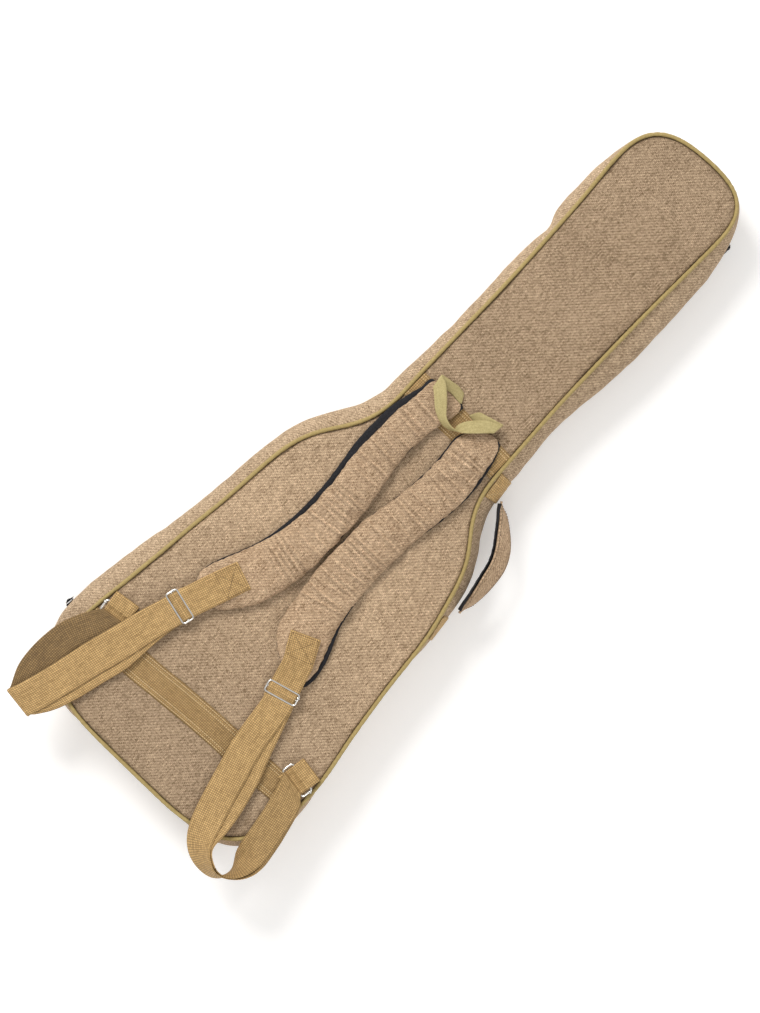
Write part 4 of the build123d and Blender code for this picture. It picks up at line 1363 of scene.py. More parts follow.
LEFT_AXIS = [(-37, 367), (-42, 300), (-43, 230), (-36, 160), (-35, 110), (-48, 50),
             (-66, 5), (-84, -30)]
PAD_POINTS = {}
for side, outline, backing, axis_points, seed in (
        ("left", PAD_LEFT, BACKING_LEFT, LEFT_AXIS, 101),
        ("right", PAD_RIGHT, BACKING_RIGHT, pad_axis(PAD_RIGHT), 202)):
    PAD_POINTS[side] = pad_cover(side, outline, axis_points, seed)
    pad_backing(side, backing, seed)


# =============================================================================
# Glides and wire rings
# =============================================================================
def turned(at, turn, local):
    """Local points turned about z by turn degrees and moved to at."""
    c, s = math.cos(math.radians(turn)), math.sin(math.radians(turn))
    x, y, z = np.moveaxis(np.asarray(local, float), -1, 0)
    return np.stack([at[0] + x * c - y * s, at[1] + x * s + y * c, at[2] + z], -1)


def rounded_frame(width, length):
    """Closed rounded rectangle with its upper bar at y 0 and its lower bar at -length."""
    corner, steps = 3.2, 12
    x = width / 2 - corner
    points = []
    for cx, cy, start in ((x, -corner, 0), (-x, -corner, 90),
                          (-x, corner - length, 180), (x, corner - length, 270)):
        for k in range(steps):
            angle = math.radians(start + 90 * k / (steps - 1))
            points.append((cx + corner * math.cos(angle), cy + corner * math.sin(angle), 0))
    points = np.array(points, float)
    out = []
    for a, b in zip(points, np.roll(points, -1, 0)):
        parts = max(int(np.linalg.norm(b - a)), 1)
        out += [a + (b - a) * k / parts for k in range(parts)]
    return np.array(out)


def weld_bead(at):
    """A small rough lump where the wire is joined."""
    radius, rows, sides = 1.9, 9, 16
    points = []
    for polar in np.linspace(0, np.pi, rows):
        for angle in np.linspace(0, 2 * np.pi, sides + 1)[:-1]:
            r = radius * (1 + 0.12 * math.sin(3 * angle + 5 * polar))
            points.append((r * 1.3 * math.sin(polar) * math.cos(angle),
                           r * math.sin(polar) * math.sin(angle), r * math.cos(polar)))
    points = np.array(points) + at
    faces = grid_faces(rows, sides)
    faces += [[(i + 1) * sides - 1, (i + 2) * sides - 1, (i + 1) * sides, i * sides]
              for i in range(rows - 1)]
    return points, faces, points[:, :2]


def wire_frame(name, body, at, turn, width, bar, bead_side):
    """Bent wire frame, either centred with a middle bar or hanging from its upper bar."""
    length = 15.0
    line = rounded_frame(width, length)
    run = run_length(line)[:len(line)]
    if bar:
        line = line + np.array([0, length / 2, 0])
    line = turned(at, turn, line)
    line[:, 2] += 0.25 * np.sin(run / run[-1] * 4 * np.pi + 0.6)
    parts = [tube(line, 1.3 + 0.03 * np.sin(run * 0.9), 14)]
    if bar:
        x = np.linspace(-width / 2 + 0.4, width / 2 - 0.4, 30)
        parts.append(tube(turned(at, turn, np.stack([x, 0 * x, 0 * x - 0.1], 1)), 1.2,
                          closed=False))
    bead_y = length / 2 - 4.4 if bar else -4.0
    parts.append(weld_bead(turned(at, turn, np.array([bead_side * width / 2, bead_y, 0.2]))))
    mesh_object(name, joined(parts), NICKEL, "nickel", body, (body,))


for side, sign in (("left", -1), ("right", 1)):
    wire_frame(side + "_tri_glide", side + "_glide", *GLIDES[side], width=42.0, bar=True,
               bead_side=sign)
for side, sign in (("left", -1), ("right", 1)):
    wire_frame(side + "_wire_ring", side + "_ring", *RINGS[side], width=41.0, bar=False,
               bead_side=sign)

# =============================================================================
# Tabs: a webbing end sewn on each pad with a box and a cross
# =============================================================================
# three places down each tab: ends of its two edges, (x, y) each
TABS = {
    "left": (((-78.6, 38.3), (-42.8, 26.0)), ((-91.5, 5.0), (-55.5, -9.0)),
             ((-109.0, -44.5), (-72.0, -54.5))),
    "right": (((26.5, 24.3), (62.3, 40.3)), ((44.0, -7.5), (79.0, 7.0)),
              ((54.5, -45.5), (92.0, -35.0))),
}


def pad_top(side, points):
    """Height of the finished pad under plan points, 0 off the pad."""
    upper = PAD_POINTS[side][PAD_POINTS[side][:, 2] > 97.0]
    out = np.zeros(len(points))
    for i, point in enumerate(points):
        near = ((upper[:, :2] - point[:2]) ** 2).sum(1) < 5.0 ** 2
        if near.any():
            out[i] = upper[near, 2].max()
    return out


def tab_edges(side):
    """The two edge lines of a tab, draped over the pad and on towards its glide."""
    end_height = 101.6
    stations = np.array(TABS[side])
    edges = []
    for top, line, end in (stations[:, 0], stations[:, 1]):
        plan = [top, top * 0.5 + line * 0.5, line, line * 0.5 + end * 0.5, end]
        edges.append(resample_rows(at_height(plan, 0.0), 110))
    edges = np.array(edges)
    first, second = edges
    middle = (first + second) / 2
    run = run_length(middle, False)
    under = np.max([pad_top(side, middle), pad_top(side, first * 0.75 + second * 0.25),
                    pad_top(side, first * 0.25 + second * 0.75)], axis=0)
    last = np.nonzero(under > 0)[0].max()
    z = np.maximum(under, 101.0)
    fall = smoothstep(0, 1, (run - run[last]) / max(run[-1] - run[last], 1e-6))
    z = np.where(np.arange(len(run)) > last, z[last] * (1 - fall) + end_height * fall, z)
    z = np.minimum(np.maximum(box_smooth(z, 9), under - 0.4) + 0.75, 109.4)
    edges[0, :, 2] = z - 0.9 * smoothstep(30, 75, run)
    edges[1, :, 2] = z - 0.5 * smoothstep(20, 75, run)
    return edges, run


def tab(side):
    edges, run = tab_edges(side)
    mesh_object(side + "_tab_webbing", strap(edges, STRAP_THICK), WEBBING, "webbing",
                side + "_strap", (side + "_tab",))
    normals = unit(np.cross(unit(edges[1] - edges[0]), tangents((edges[0] + edges[1]) / 2)))
    normals = normals * np.sign(normals[:, 2].mean())

    def on_tab(along, across):
        """Points at a run along the tab and a place across it, with their normals."""
        place = np.interp(along, run, np.arange(len(run)))
        index = np.clip(np.floor(place).astype(int), 0, len(run) - 2)
        part = (place - index)[:, None]
        first, second = edges[:, index] * (1 - part) + edges[:, index + 1] * part
        normal = unit(normals[index])
        share = (across / 19.0 * 0.5 + 0.5)[:, None]
        return first + (second - first) * share + normal * 0.95, normal

    near, far, half = 2.2, 31.0, 16.6
    t = np.linspace(0, 1, 40)
    stitches = []
    for (s0, x0), (s1, x1) in (
            ((near, -half), (near, half)), ((far, -half), (far, half)),
            ((near, -half), (far, -half)), ((near, half), (far, half)),
            ((2.6, -16), (far - 0.4, 16)), ((2.6, 16), (far - 0.4, -16))):
        points, normal = on_tab(lerp(s0, s1, t), lerp(x0, x1, t))
        stitches.append(stitch_run(points, normal, pitch=2.9, radius=0.52))
    mesh_object(side + "_tab_stitches", joined(stitches), THREAD_BROWN, "webbing",
                side + "_strap")


for side in ("left", "right"):
    tab(side)


# =============================================================================
# Webbing over the glides
# =============================================================================
def profile_edges(at, turn, profile, count, half_width):
    """Edge lines of a band with a local (y, z) profile, and the profile itself."""
    line = resample_rows([(0, y, z) for y, z in profile], count)
    edges = np.stack([turned(at, turn, line + np.array([x, 0, 0]))
                      for x in (-half_width, half_width)])
    return edges, line


# local (y, z) of the hump over the middle bar of a glide
GLIDE_HUMP = [
    (13.0, -1.5), (9.8, -2.05), (7.4, -2.25), (5.0, -0.9), (2.4, 1.2), (0.0, 2.15),
    (-2.4, 1.2), (-5.0, -0.9), (-7.4, -2.25), (-9.8, -2.35), (-13.0, -2.2),
]
for side in ("left", "right"):
    edges, _ = profile_edges(*GLIDES[side], GLIDE_HUMP, 60, 18.7)
    mesh_object(side + "_glide_webbing", strap(edges, 1.5), WEBBING, "webbing",
                side + "_glide")

# =============================================================================
# Legs: two layers from each glide to a turn near the broad end, and back to a ring
# =============================================================================
LEFT_LEG_EDGES = (
    [(-110.5, -49), (-114, -62), (-123, -89), (-133, -127), (-144, -166), (-153, -206),
     (-161, -236), (-168, -259), (-171.5, -267.5)],
    [(-72.8, -60), (-77.5, -75), (-85, -103), (-94, -143), (-105, -182), (-115, -221),
     (-121, -245), (-126, -262), (-130, -272)],
)
LEFT_FOLD = np.array([(-172.0, -268.0), (-130.5, -273.5)])      # ends of the fold line
LEFT_FOLD_Z = 96.2
LEFT_RETURN_OUTER = [
    (-172, -267), (-178.5, -254), (-184, -241), (-187, -221), (-187, -196), (-183, -168),
    (-174, -145), (-165, -129), (-158.6, -120.8),
]
RIGHT_LEG = [   # plan centre x, y, height, roll about the path in degrees
    (74.5, -43, 100.2, 0), (79, -60, 100.0, 0), (86, -110, 99.2, 0), (96, -150, 99.2, 0),
    (106.5, -188, 99.4, 3), (116.5, -219, 99.3, 12), (125, -238, 98.6, 28),
    (136, -250, 97.6, 42), (150.5, -256.5, 96.4, 55), (166, -258, 95.4, 69),
    (178, -252.5, 94.8, 84), (184.5, -241.5, 94.6, 104), (185.5, -228, 94.6, 130),
    (183.5, -213, 94.4, 158), (181.4, -198, 94.3, 176), (177.5, -174, 94.4, 180),
    (172.8, -149, 94.8, 180), (167.5, -128, 95.2, 180), (160.2, -113.2, 95.4, 180),
]


def left_leg_layers():
    """Upper and lower layer; the lower one is shifted sideways and peeks out."""
    edges = [smooth_rows(resample(edge, 150, closed=False), 4) for edge in LEFT_LEG_EDGES]
    run = run_length((edges[0] + edges[1]) / 2, False)
    t = run / run[-1]
    across = unit(edges[1] - edges[0])
    shift = box_smooth(np.interp(t, [0, 0.12, 0.28, 0.42, 0.75, 0.88, 0.96, 1],
                                 [0, 1.5, 6.5, 11.5, 12, 9, 4, 0.5]), 8)
    z = box_smooth(np.interp(t, [0, 0.06, 0.5, 0.8, 1],
                             [100.2, 100.0, 99.2, 99.4, 99.9]), 8)
    z = z + 0.8 * line_noise(run, 90, 301)
    tilt = 1.2 * line_noise(run, 120, 302) * np.sin(np.pi * t)
    upper = np.stack([at_height(edges[0], z + tilt), at_height(edges[1], z - tilt)])
    lower = upper - 2.0 * UP_AXIS
    lower[:, :, :2] += across * shift[:, None]
    lower[1, :, 2] -= 0.06 * shift
    return upper, lower


def fold_arc(radius, count):
    """Half turn round the left fold line, bulging towards the broad end."""
    axis = unit(LEFT_FOLD[1] - LEFT_FOLD[0])
    out = np.array([axis[1], -axis[0]])
    if out[1] > 0:
        out = -out
    angle = np.linspace(0, np.pi, count)
    reach = out * (np.sin(angle) * radius * 1.15)[:, None]
    z = LEFT_FOLD_Z + radius * np.cos(angle)
    return np.stack([at_height(end + reach, z) for end in LEFT_FOLD])


def ring_axis(side):
    turn = math.radians(RINGS[side][1])
    return np.array([math.cos(turn), math.sin(turn)])


def sleeve_arc(edges):
    """Half turn round a ring bar, from below to above the last points of the edges."""
    (first, second), (first_before, second_before) = edges[:, -1], edges[:, -6]
    step = first + second - first_before - second_before
    forward = unit(step * np.array([1, 1, 0]))
    angle = np.linspace(-np.pi / 2, np.pi / 2, 14)[1:-1, None]
    arc = (forward * BAR_RADIUS * 1.05 * np.cos(angle)
           + UP_AXIS * BAR_RADIUS * np.sin(angle))
    return edges[:, -1:] + arc


def sleeve_gap(run):
    """Half the distance between the layers, opening towards the ring bar."""
    return (1.0 + (BAR_RADIUS - 1.0) * np.exp(-((run[-1] - run) / 9.0) ** 2))[:, None]


def left_return_layers():
    """Edges of the lower layer to the ring, round its bar, and back above."""
    outer = smooth_rows(resample(LEFT_RETURN_OUTER, 120, closed=False), 5)
    run = run_length(outer, False)
    t = run / run[-1]
    at_fold = (1 - smoothstep(0.0, 0.30, t))[:, None]
    at_ring = smoothstep(0.86, 1.0, t)[:, None]
    across = unit(-left_normals(outer, closed=False) * (1 - at_fold) * (1 - at_ring)
                  + unit(LEFT_FOLD[1] - LEFT_FOLD[0]) * at_fold
                  + ring_axis("left") * at_ring)
    inner = outer + across * np.interp(t, [0, 0.3, 0.85, 1], [41.5, 38, 38, 36])[:, None]
    z = box_smooth(np.interp(t, [0, 0.12, 0.5, 0.9, 1.0],
                             [93.6, 93.7, 94.2, 94.8, 95.4]), 6)
    edges = np.stack([at_height(outer, z), at_height(inner, z)])
    gap = UP_AXIS * sleeve_gap(run_length((edges[0] + edges[1]) / 2, False))
    return np.concatenate([edges - gap, sleeve_arc(edges), (edges + gap)[:, ::-1]], axis=1)


def left_leg():
    upper, lower = left_leg_layers()
    outer_fold, inner_fold = fold_arc(3.7, 14), fold_arc(1.7, 10)
    upper = np.concatenate([upper[:, :-2], outer_fold[:, :8]], axis=1)
    lower = np.concatenate([lower[:, :-2], inner_fold[:, :6]], axis=1)
    leg = mesh_object("left_leg_webbing",
                      joined([strap(upper, STRAP_THICK), strap(lower, UNDER_THICK)]),
                      WEBBING, "webbing", replaces=("left_webbing",))
    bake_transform(leg)
    edges = np.concatenate([outer_fold[:, 7:], left_return_layers()[:, 2:-2],
                            inner_fold[:, 5:][:, ::-1]], axis=1)
    back = mesh_object("left_return_webbing", strap(edges, UNDER_THICK), WEBBING_SHADE,
                       "webbing", replaces=("left_webbing_return",))
    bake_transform(back)


def right_leg():
    """The loop stands on its edge in the lower turn and comes back inner face up."""
    path = resample_rows(RIGHT_LEG, 300)
    centre = smooth_rows(path[:, :3], 4)
    roll = np.radians(np.clip(box_smooth(path[:, 3], 6), 0, 180))
    heading = unit(np.gradient(centre, axis=0) * np.array([1, 1, 0]))
    # right-hand side of the path as seen from above
    outer = np.column_stack([heading[:, 1], -heading[:, 0], np.zeros(len(heading))])
    cos_roll, sin_roll = np.cos(roll)[:, None], np.sin(roll)[:, None]
    across = -cos_roll * outer + sin_roll * UP_AXIS
    normal = cos_roll * UP_AXIS + sin_roll * outer
    run = run_length(centre, False)
    t = run / run[-1]
    half = np.interp(t, [0, 0.4, 0.6, 0.94, 1], [37.6, 38.4, 38.4, 37.6, 36.0])[:, None] / 2
    to_ring = smoothstep(0.93, 1.0, t)[:, None]
    across = unit(across * (1 - to_ring) + np.append(ring_axis("right"), 0) * to_ring)
    shift = box_smooth(np.interp(run, [0, 22, 45, 70, 105, 135, 160, 185, 205, 225],
                                 [0, 3, 8, 12, 15.5, 15.5, 13.5, 9, 4, 0.5]), 8)
    spread = np.interp(t, [0, 0.5, 0.62, 0.72, 0.84, 0.95, 1],
                       [0, 0, 1.5, 4.0, 3.5, 1.0, 0])
    # where the band stands on its edge the two layers touch, so nothing shows between
    on_edge = np.argmin(np.abs(roll - math.pi / 2))
    close = np.exp(-((run - run[on_edge]) / 15.0) ** 2)
    spread = spread * (1 - close) - 0.45 * close
    gap = normal * sleeve_gap(run)
    middle = np.stack([centre - across * half, centre + across * half])
    upper = middle + gap + outer * spread[:, None]
    lower = middle - gap + across * shift[:, None]
    lower[1, :, 2] -= 0.06 * shift

    # the leg and its return are split in the lower turn, near x 168, y -257.5
    split = int(np.argmin(np.abs(centre[:, 0] - 168) + np.abs(centre[:, 1] + 257.5)))
    leg = mesh_object("right_leg_webbing",
                      joined([strap(upper[:, :split + 1], STRAP_THICK),
                              strap(lower[:, :split + 1], UNDER_THICK)]),
                      WEBBING, "webbing", replaces=("right_webbing",))
    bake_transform(leg)
    edges = np.concatenate([upper[:, split - 5:], sleeve_arc(middle),
                            lower[:, split - 5:][:, ::-1]], axis=1)
    # the return takes the darker webbing copy: painted shade
    back = mesh_object("right_return_webbing", strap(edges, UNDER_THICK),
                       WEBBING_SHADED_RETURN, "webbing", replaces=("right_webbing_return",))
    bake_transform(back)


left_leg()
right_leg()

# local (y, z) of the loops from the lower band round the upper bar of each ring
ANCHOR_LOOP = [
    (-24.0, -3.7), (-14, -3.75), (-4, -3.6), (4, -3.3), (9.5, -2.9), (13.2, -2.0),
    (14.6, 0.2), (13.4, 2.3), (9.8, 3.1), (4.0, 2.75), (0, 2.45), (-3.5, 1.6),
    (-5.5, -0.3), (-8.0, -1.8), (-14.0, -2.1), (-24.0, -2.2),
]
for side in ("left", "right"):
    edges, line = profile_edges(*RINGS[side], ANCHOR_LOOP, 110, 17.0)
    edges[0, :, 2] += 0.5 * smoothstep(2, 14, line[:, 1])
    mesh_object(side + "_anchor_webbing", strap(edges, 1.5), WEBBING, "webbing",
                "back_shell", (side + "_anchor_tab",))

# =============================================================================
# Carry handle on the right side, with its sewn patches
# =============================================================================
HANDLE_PATH = [   # x, y, z
    (102.5, 316, 62), (108, 309, 63), (118, 300.5, 65), (132, 287, 67), (145, 272, 68.5),
    (153.5, 255, 69), (157, 236, 69), (159, 216, 68.5), (159.5, 199, 66), (159.5, 190, 63),
    (160.5, 181, 62),
]


def handle():
    count, sides, stitch_inset = 150, 40, 3.4
    centre = smooth_rows(resample(HANDLE_PATH, count, closed=False), 4)
    t = np.linspace(0, 1, count)
    run = run_length(centre, False)
    tilt = np.radians(90.0 - 45.0 * np.sin(np.pi * t))[:, None]
    outward = at_height(left_normals(centre, closed=False), 0.0)
    outward = np.where(outward[:, :1] > 0, outward, -outward)
    across = outward * np.cos(tilt) - UP_AXIS * np.sin(tilt)
    up = outward * np.sin(tilt) + UP_AXIS * np.cos(tilt)
    away_from_ends = smoothstep(0.0, 0.1, t) * smoothstep(1.0, 0.9, t)
    thick = 3.6 + 3.2 * smoothstep(0.0, 0.14, t) * smoothstep(1.0, 0.86, t)
    half = 15.2 * (0.86 + 0.14 * away_from_ends)
    lump = 0.5 * soft_noise(centre, 34, 401) + 0.25 * soft_noise(centre, 14, 402)

    # canvas body of rounded section, one row of points per place along the path
    angle = np.linspace(0, 2 * np.pi, sides, endpoint=False)
    x = np.sign(np.cos(angle)) * np.abs(np.cos(angle)) ** 0.62
    z = np.sign(np.sin(angle)) * np.abs(np.sin(angle)) ** 0.75
    half_rows = half[:, None]
    groove = 0.55 * (z > 0) * np.exp(
        -((np.abs(x) * half_rows - (half_rows - stitch_inset)) / 1.3) ** 2)
    rise = z * np.where(z > 0, 1.0, 0.75) * (
        thick[:, None] / 2 + 0.35 * lump[:, None] * (1 - x ** 2)) - groove
    reach = np.where(x < 0, half_rows - 2.4 * away_from_ends[:, None], half_rows)
    points = (centre + up * (thick / 2 + 0.2)[:, None])[:, None, :] \
        + across[:, None, :] * (x * reach)[:, :, None] + up[:, None, :] * rise[:, :, None]
    part = (points.reshape(-1, 3),
            tube_faces(count, sides, flip=True) + end_caps(count, sides),
            grid_uv(x * half_rows + np.where(z < 0, 40, 0), run[:, None]))
    face_outward(mesh_object("handle_canvas", part, CANVAS_PAD, "canvas", "handle",
                             ("handle_cover",)))

    # black lining on the underside, one edge rolled round the border
    x = np.linspace(-1, 1, 15)
    i = np.arange(3, 147)
    wave = (0.5 * np.sin(i * 0.55) + 0.35 * np.sin(i * 1.37 + 1))[:, None]
    reach = x * (half[i, None] - 0.6 + np.where(x < -0.8, 2.2 + 0.5 * wave, 0.2))
    rise = -0.95 - 0.9 * (1 - x ** 4) + np.where(x < -0.8, (-x - 0.8) / 0.2 * 3.6, 0.0)
    points = ((centre + up * 0.2)[i, None, :] + across[i, None, :] * reach[:, :, None]
              + up[i, None, :] * rise[None, :, None])
    part = (points.reshape(-1, 3), grid_faces(len(i), len(x)), grid_uv(x * 15, run[i, None]))
    mesh_object("handle_lining_mesh", part, MESH, "mesh", "handle", ("handle_lining",),
                thickness=1.1, offset=0.0)

    stitches = []
    for sign in (1, -1):
        line = (centre + up * (thick + 0.05)[:, None] * 0.93
                + across * (sign * (half - stitch_inset))[:, None])
        stitches.append(stitch_run(line[4:-4], up[4:-4], pitch=3.6, radius=0.36))
    mesh_object("handle_stitches", joined(stitches), THREAD_DARK, "canvas", "handle")


def handle_patch(place, y_low, y_high, z_low, z_high):
    """Patch of webbing on the side wall, sewn round its border and along one diagonal."""
    name = "handle_patch_" + place
    ring_y = WIDE_RING[:, 1]
    i = np.nonzero((WIDE_RING[:, 0] > 0) & (ring_y >= y_low) & (ring_y <= y_high))[0]
    z = BACK_WALL_GRID[i[len(i) // 2], :, 2]
    j = np.nonzero((z >= z_low) & (z <= z_high))[0]
    wall = BACK_WALL_GRID[np.ix_(i, j)]
    normals = unit(np.cross(np.gradient(wall, axis=1), np.gradient(wall, axis=0)))
    normals *= np.sign(normals[..., 0].mean())
    surface = wall + normals * 1.1
    rows, columns = surface.shape[:2]
    part = (surface.reshape(-1, 3), grid_faces(rows, columns),
            grid_uv((ring_y[i] - y_low)[:, None], np.linspace(0, z_high - z_low, columns)))
    patch = mesh_object(name + "_webbing", part, WEBBING, "webbing", "back_shell", (name,),
                        thickness=1.5, offset=0.0)
    subdivide = patch.modifiers.new("sub", "SUBSURF")
    subdivide.levels = subdivide.render_levels = 1

    t = np.linspace(0, 1, 12)
    diagonal = (np.rint(1 + (rows - 3) * t).astype(int),
                np.rint(1 + (columns - 3) * t).astype(int))
    inner = slice(1, -1)
    lifted = surface + normals * 0.8
    stitches = [stitch_run(lifted[line], normals[line], pitch=2.9, radius=0.36)
                for line in ((1, inner), (rows - 2, inner), (inner, 1),
                             (inner, columns - 2), diagonal)]
    mesh_object(name + "_stitches", joined(stitches), THREAD_GOLD, "webbing", "back_shell")


handle()
handle_patch("upper", 307.0, 344.0, 47.0, 85.2)
handle_patch("lower", 132.0, 170.0, 47.0, 84.5)

# =============================================================================
# Hang loop of folded tape
# =============================================================================
HANG_LOOP = [   # x, y, z of one edge, then of the other
    (-22.0, 379.8, 92.5, -13.9, 366.0, 91.6), (-31.9, 381.3, 98.0, -23.5, 367.8, 94.0),
    (-42.3, 379.8, 103.0, -35.1, 368.4, 98.0), (-51.3, 378.3, 106.0, -45.8, 364.5, 102.0),
    (-57.3, 376.4, 108.0, -54.5, 358.8, 106.0), (-47.7, 373.2, 109.5, -50.3, 355.0, 108.5),
    (-36.7, 364.2, 110.5, -43.3, 348.7, 109.5), (-26.9, 354.0, 111.0, -34.9, 341.1, 109.0),
    (-18.2, 344.1, 111.0, -26.8, 336.5, 106.5), (-9.0, 339.9, 111.5, -17.4, 333.1, 102.5),
    (-0.5, 339.3, 112.0, -8.0, 333.5, 100.5), (8.8, 341.9, 111.5, -0.0, 337.5, 100.5),
    (15.0, 346.3, 110.5, -0.6, 345.5, 103.0), (20.5, 351.4, 109.5, 3.4, 355.6, 106.0),
    (29.2, 360.1, 108.5, 10.6, 364.4, 107.0), (35.1, 366.1, 108.0, 21.6, 374.7, 107.0),
    (38.1, 369.1, 107.0, 39.7, 384.4, 105.0), (31.4, 367.2, 104.0, 28.7, 382.2, 103.0),
    (22.8, 366.7, 101.5, 17.5, 378.9, 101.0), (14.8, 366.2, 97.0, 7.6, 375.6, 98.0),
    (9.7, 363.9, 92.2, 1.1, 364.7, 92.2),
]


def hang_loop():
    dense = catmull(HANG_LOOP, 14, closed=False)
    run = run_length((dense[:, :3] + dense[:, 3:]) / 2, False)
    at = np.linspace(0, run[-1], 260)
    rows = interp_rows(at, run, dense)
    rows[:, 2] += 0.35 * np.sin(at / 7.0)
    rows[:, 5] += 0.35 * np.cos(at / 6.0)
    edges = np.stack([rows[:, :3], rows[:, 3:]])
    loop = mesh_object("hang_loop_tape", strap(edges, 1.15, columns=13, selvedge=0.3),
                       LOOP_TAPE, "tape", replaces=("hang_loop",))
    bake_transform(loop)


hang_loop()


# =============================================================================
# Linings inside both shells, with a bound rim at the zip
# =============================================================================
def lining(shell, rim_z, floor_z, seed):
    """Wall lining from the rim to the panel, and a quilted floor on the panel."""
    up = shell == "back"
    sign = 1 if up else -1
    depth = floor_z - rim_z
    rings = [(inset(RIM_RING, step), rim_z + sign * rise)
             for step, rise in ((2.0, 0.0), (4.6, 0.9), (7.4, 2.6), (8.6, 6.0))]
    if up:
        rings += [(lerp(inset(RIM_RING, 8.9), inset(SEAM_RING, 9.6), f), rim_z + depth * f)
                  for f in (0.35, 0.55, 0.75, 0.9)]
        rings += [(inset(SEAM_RING, 12.5), floor_z - 1.6), (inset(SEAM_RING, 17.0), floor_z)]
    else:
        rings += [(inset(RIM_RING, 9.2), rim_z + depth * f) for f in (0.55, 0.8)]
        rings += [(inset(RIM_RING, 11.5), floor_z + 1.2), (inset(RIM_RING, 15.5), floor_z)]
    rows = spline_rows(np.stack([at_height(ring, z) for ring, z in rings], 1))
    columns = rows.shape[1]
    sway = np.sin(np.pi * np.clip(np.linspace(0, 1, columns) * 1.05, 0, 1))
    wave = 0.7 * ring_noise(RING_RUN, GIRTH, 42, seed)[:, None] * sway
    rows[:, :, :2] += INWARD[:, None, :] * wave[:, :, None]
    part = (rows.reshape(-1, 3), grid_faces(RING_POINTS, columns, wrap=True, flip=not up),
            grid_uv(RING_RUN[:, None], row_lengths(rows)))
    name = shell + "_lining_quilt"
    body = shell + "_shell"
    mesh_object(name + "_wall", part, LINING, "lining", body, (shell + "_wall_lining",),
                thickness=0.8)

    def height(plan, edge_depth):
        x, y = plan.T
        cell = 62.0             # channels run along both diagonals
        channel = np.minimum(np.abs(((x + y) / cell % 1) - 0.5),
                             np.abs(((x - y) / cell % 1) - 0.5))
        quilt = (-1.3 * np.exp(-(channel / 0.055) ** 2) * smoothstep(2, 12, edge_depth)
                 + 0.35 * soft_noise(plan, 50, seed + 3))
        return floor_z - sign * quilt

    filled_outline(name + "_floor", rows[:, -1, :2], SPINE, 34, height, LINING, "lining",
                   body, (shell + "_lining",), flip=up)


def rim_binding(shell, z):
    """Cloth tape bound round the rim, flat oval in section."""
    sides, half_width, half_height = 14, 3.0, 1.25
    waver = 0.15 * ring_noise(RING_RUN, GIRTH, 9, 503)
    rows = level_rows(inset(RIM_RING, 1.3), [
        (half_width * math.cos(angle), z + half_height * math.sin(angle) + waver)
        for angle in np.linspace(0, 2 * np.pi, sides, endpoint=False)])
    part = (rows.reshape(-1, 3), tube_faces(RING_POINTS, sides, closed=True),
            grid_uv(np.arange(sides) * 0.7, RING_RUN[:, None]))
    face_outward(mesh_object(shell + "_rim_binding", part, BINDING, "lining",
                             shell + "_shell"))


lining("back", 37.6, 78.4, 501)
lining("front", 34.2, 23.6, 502)
rim_binding("back", 37.7)
rim_binding("front", 34.3)


# =============================================================================
# Inside the back shell: neck rest, its strap, bumper at the tail
# =============================================================================
def plush_bar(name, frame_part, profile, y_low, y_high, seed, rounding):
    """Soft bar along y with an (x, z) cross-section and rounded ends."""
    count = 200
    ring = anticlockwise(gauss_ring(resample(profile, count, raw=True), 2.2))
    ends = ((0.9, 0.0), (0.3, 0.25))            # (inset, place) in parts of the rounding
    stations = [(rounding * step, y_low + rounding * place) for step, place in ends]
    stations += [(0, y_low + rounding)]
    stations += [(0, y) for y in np.linspace(y_low + rounding + 2, y_high - rounding - 2, 14)]
    stations += [(0, y_high - rounding)]
    stations += [(rounding * step, y_high - rounding * place) for step, place in ends[::-1]]
    rows = level_rows(ring, stations)[:, :, [0, 2, 1]]
    columns = rows.shape[1]
    rows[..., 2] += 0.3 * soft_noise(rows.reshape(-1, 3), 20, seed).reshape(count, columns)
    part = (rows.reshape(-1, 3), grid_faces(count, columns, wrap=True),
            grid_uv(run_length(ring)[:count, None], rows[..., 1]))
    bar = mesh_object(name, part, LINING_PAD, "foam", "back_shell", (frame_part,))
    with editing(bar.data) as bm:
        first = np.arange(count) * columns
        cap(bm, first, first + columns - 1)
        bmesh.ops.recalc_face_normals(bm, faces=bm.faces)


NECK_REST_PROFILE = [(-50, 78.2), (-50, 57.4), (-31, 57.4), (-31, 72.2), (31, 72.2),
                     (31, 57.4), (50, 57.4), (50, 78.2)]
BUMPER_PROFILE = [(-85, 78.2), (-85, 44.6), (85, 44.6), (85, 78.2)]
NECK_STRAP = [(-51, 320, 64), (-50.5, 320, 58), (-47, 320, 56.2), (-30, 320, 56.0),
              (0, 320, 55.6), (30, 320, 56.0), (47, 320, 56.2), (50.5, 320, 58),
              (51, 320, 64)]

plush_bar("neck_rest_plush", "neck_rest", NECK_REST_PROFILE, 298, 342, 511, 3.0)
strap_line = resample_rows(NECK_STRAP, 120)
strap_edges = np.stack([strap_line + np.array([0, y, 0]) for y in (-12.0, 12.0)])
mesh_object("neck_strap_webbing", strap(strap_edges, 1.4), WEBBING_BLACK, "webbing_black",
            "back_shell", ("neck_strap",))
plush_bar("tail_bumper_plush", "tail_bumper", BUMPER_PROFILE, -222, -210, 512, 3.5)


# =============================================================================
# Pockets on the front, with their zips
# =============================================================================
def cut_ring(ring, mask):
    """Part of an outline, closed with a straight edge and soft corners."""
    kept = ring[unbroken_run(mask)]
    a, b = kept[-1], kept[0]
    steps = int(np.linalg.norm(b - a) / 2.2)
    line = a + (b - a) * (np.arange(1, steps)[:, None] / steps)
    return gauss_ring(resample(np.vstack([kept, line]), 620, raw=True), 2.2)


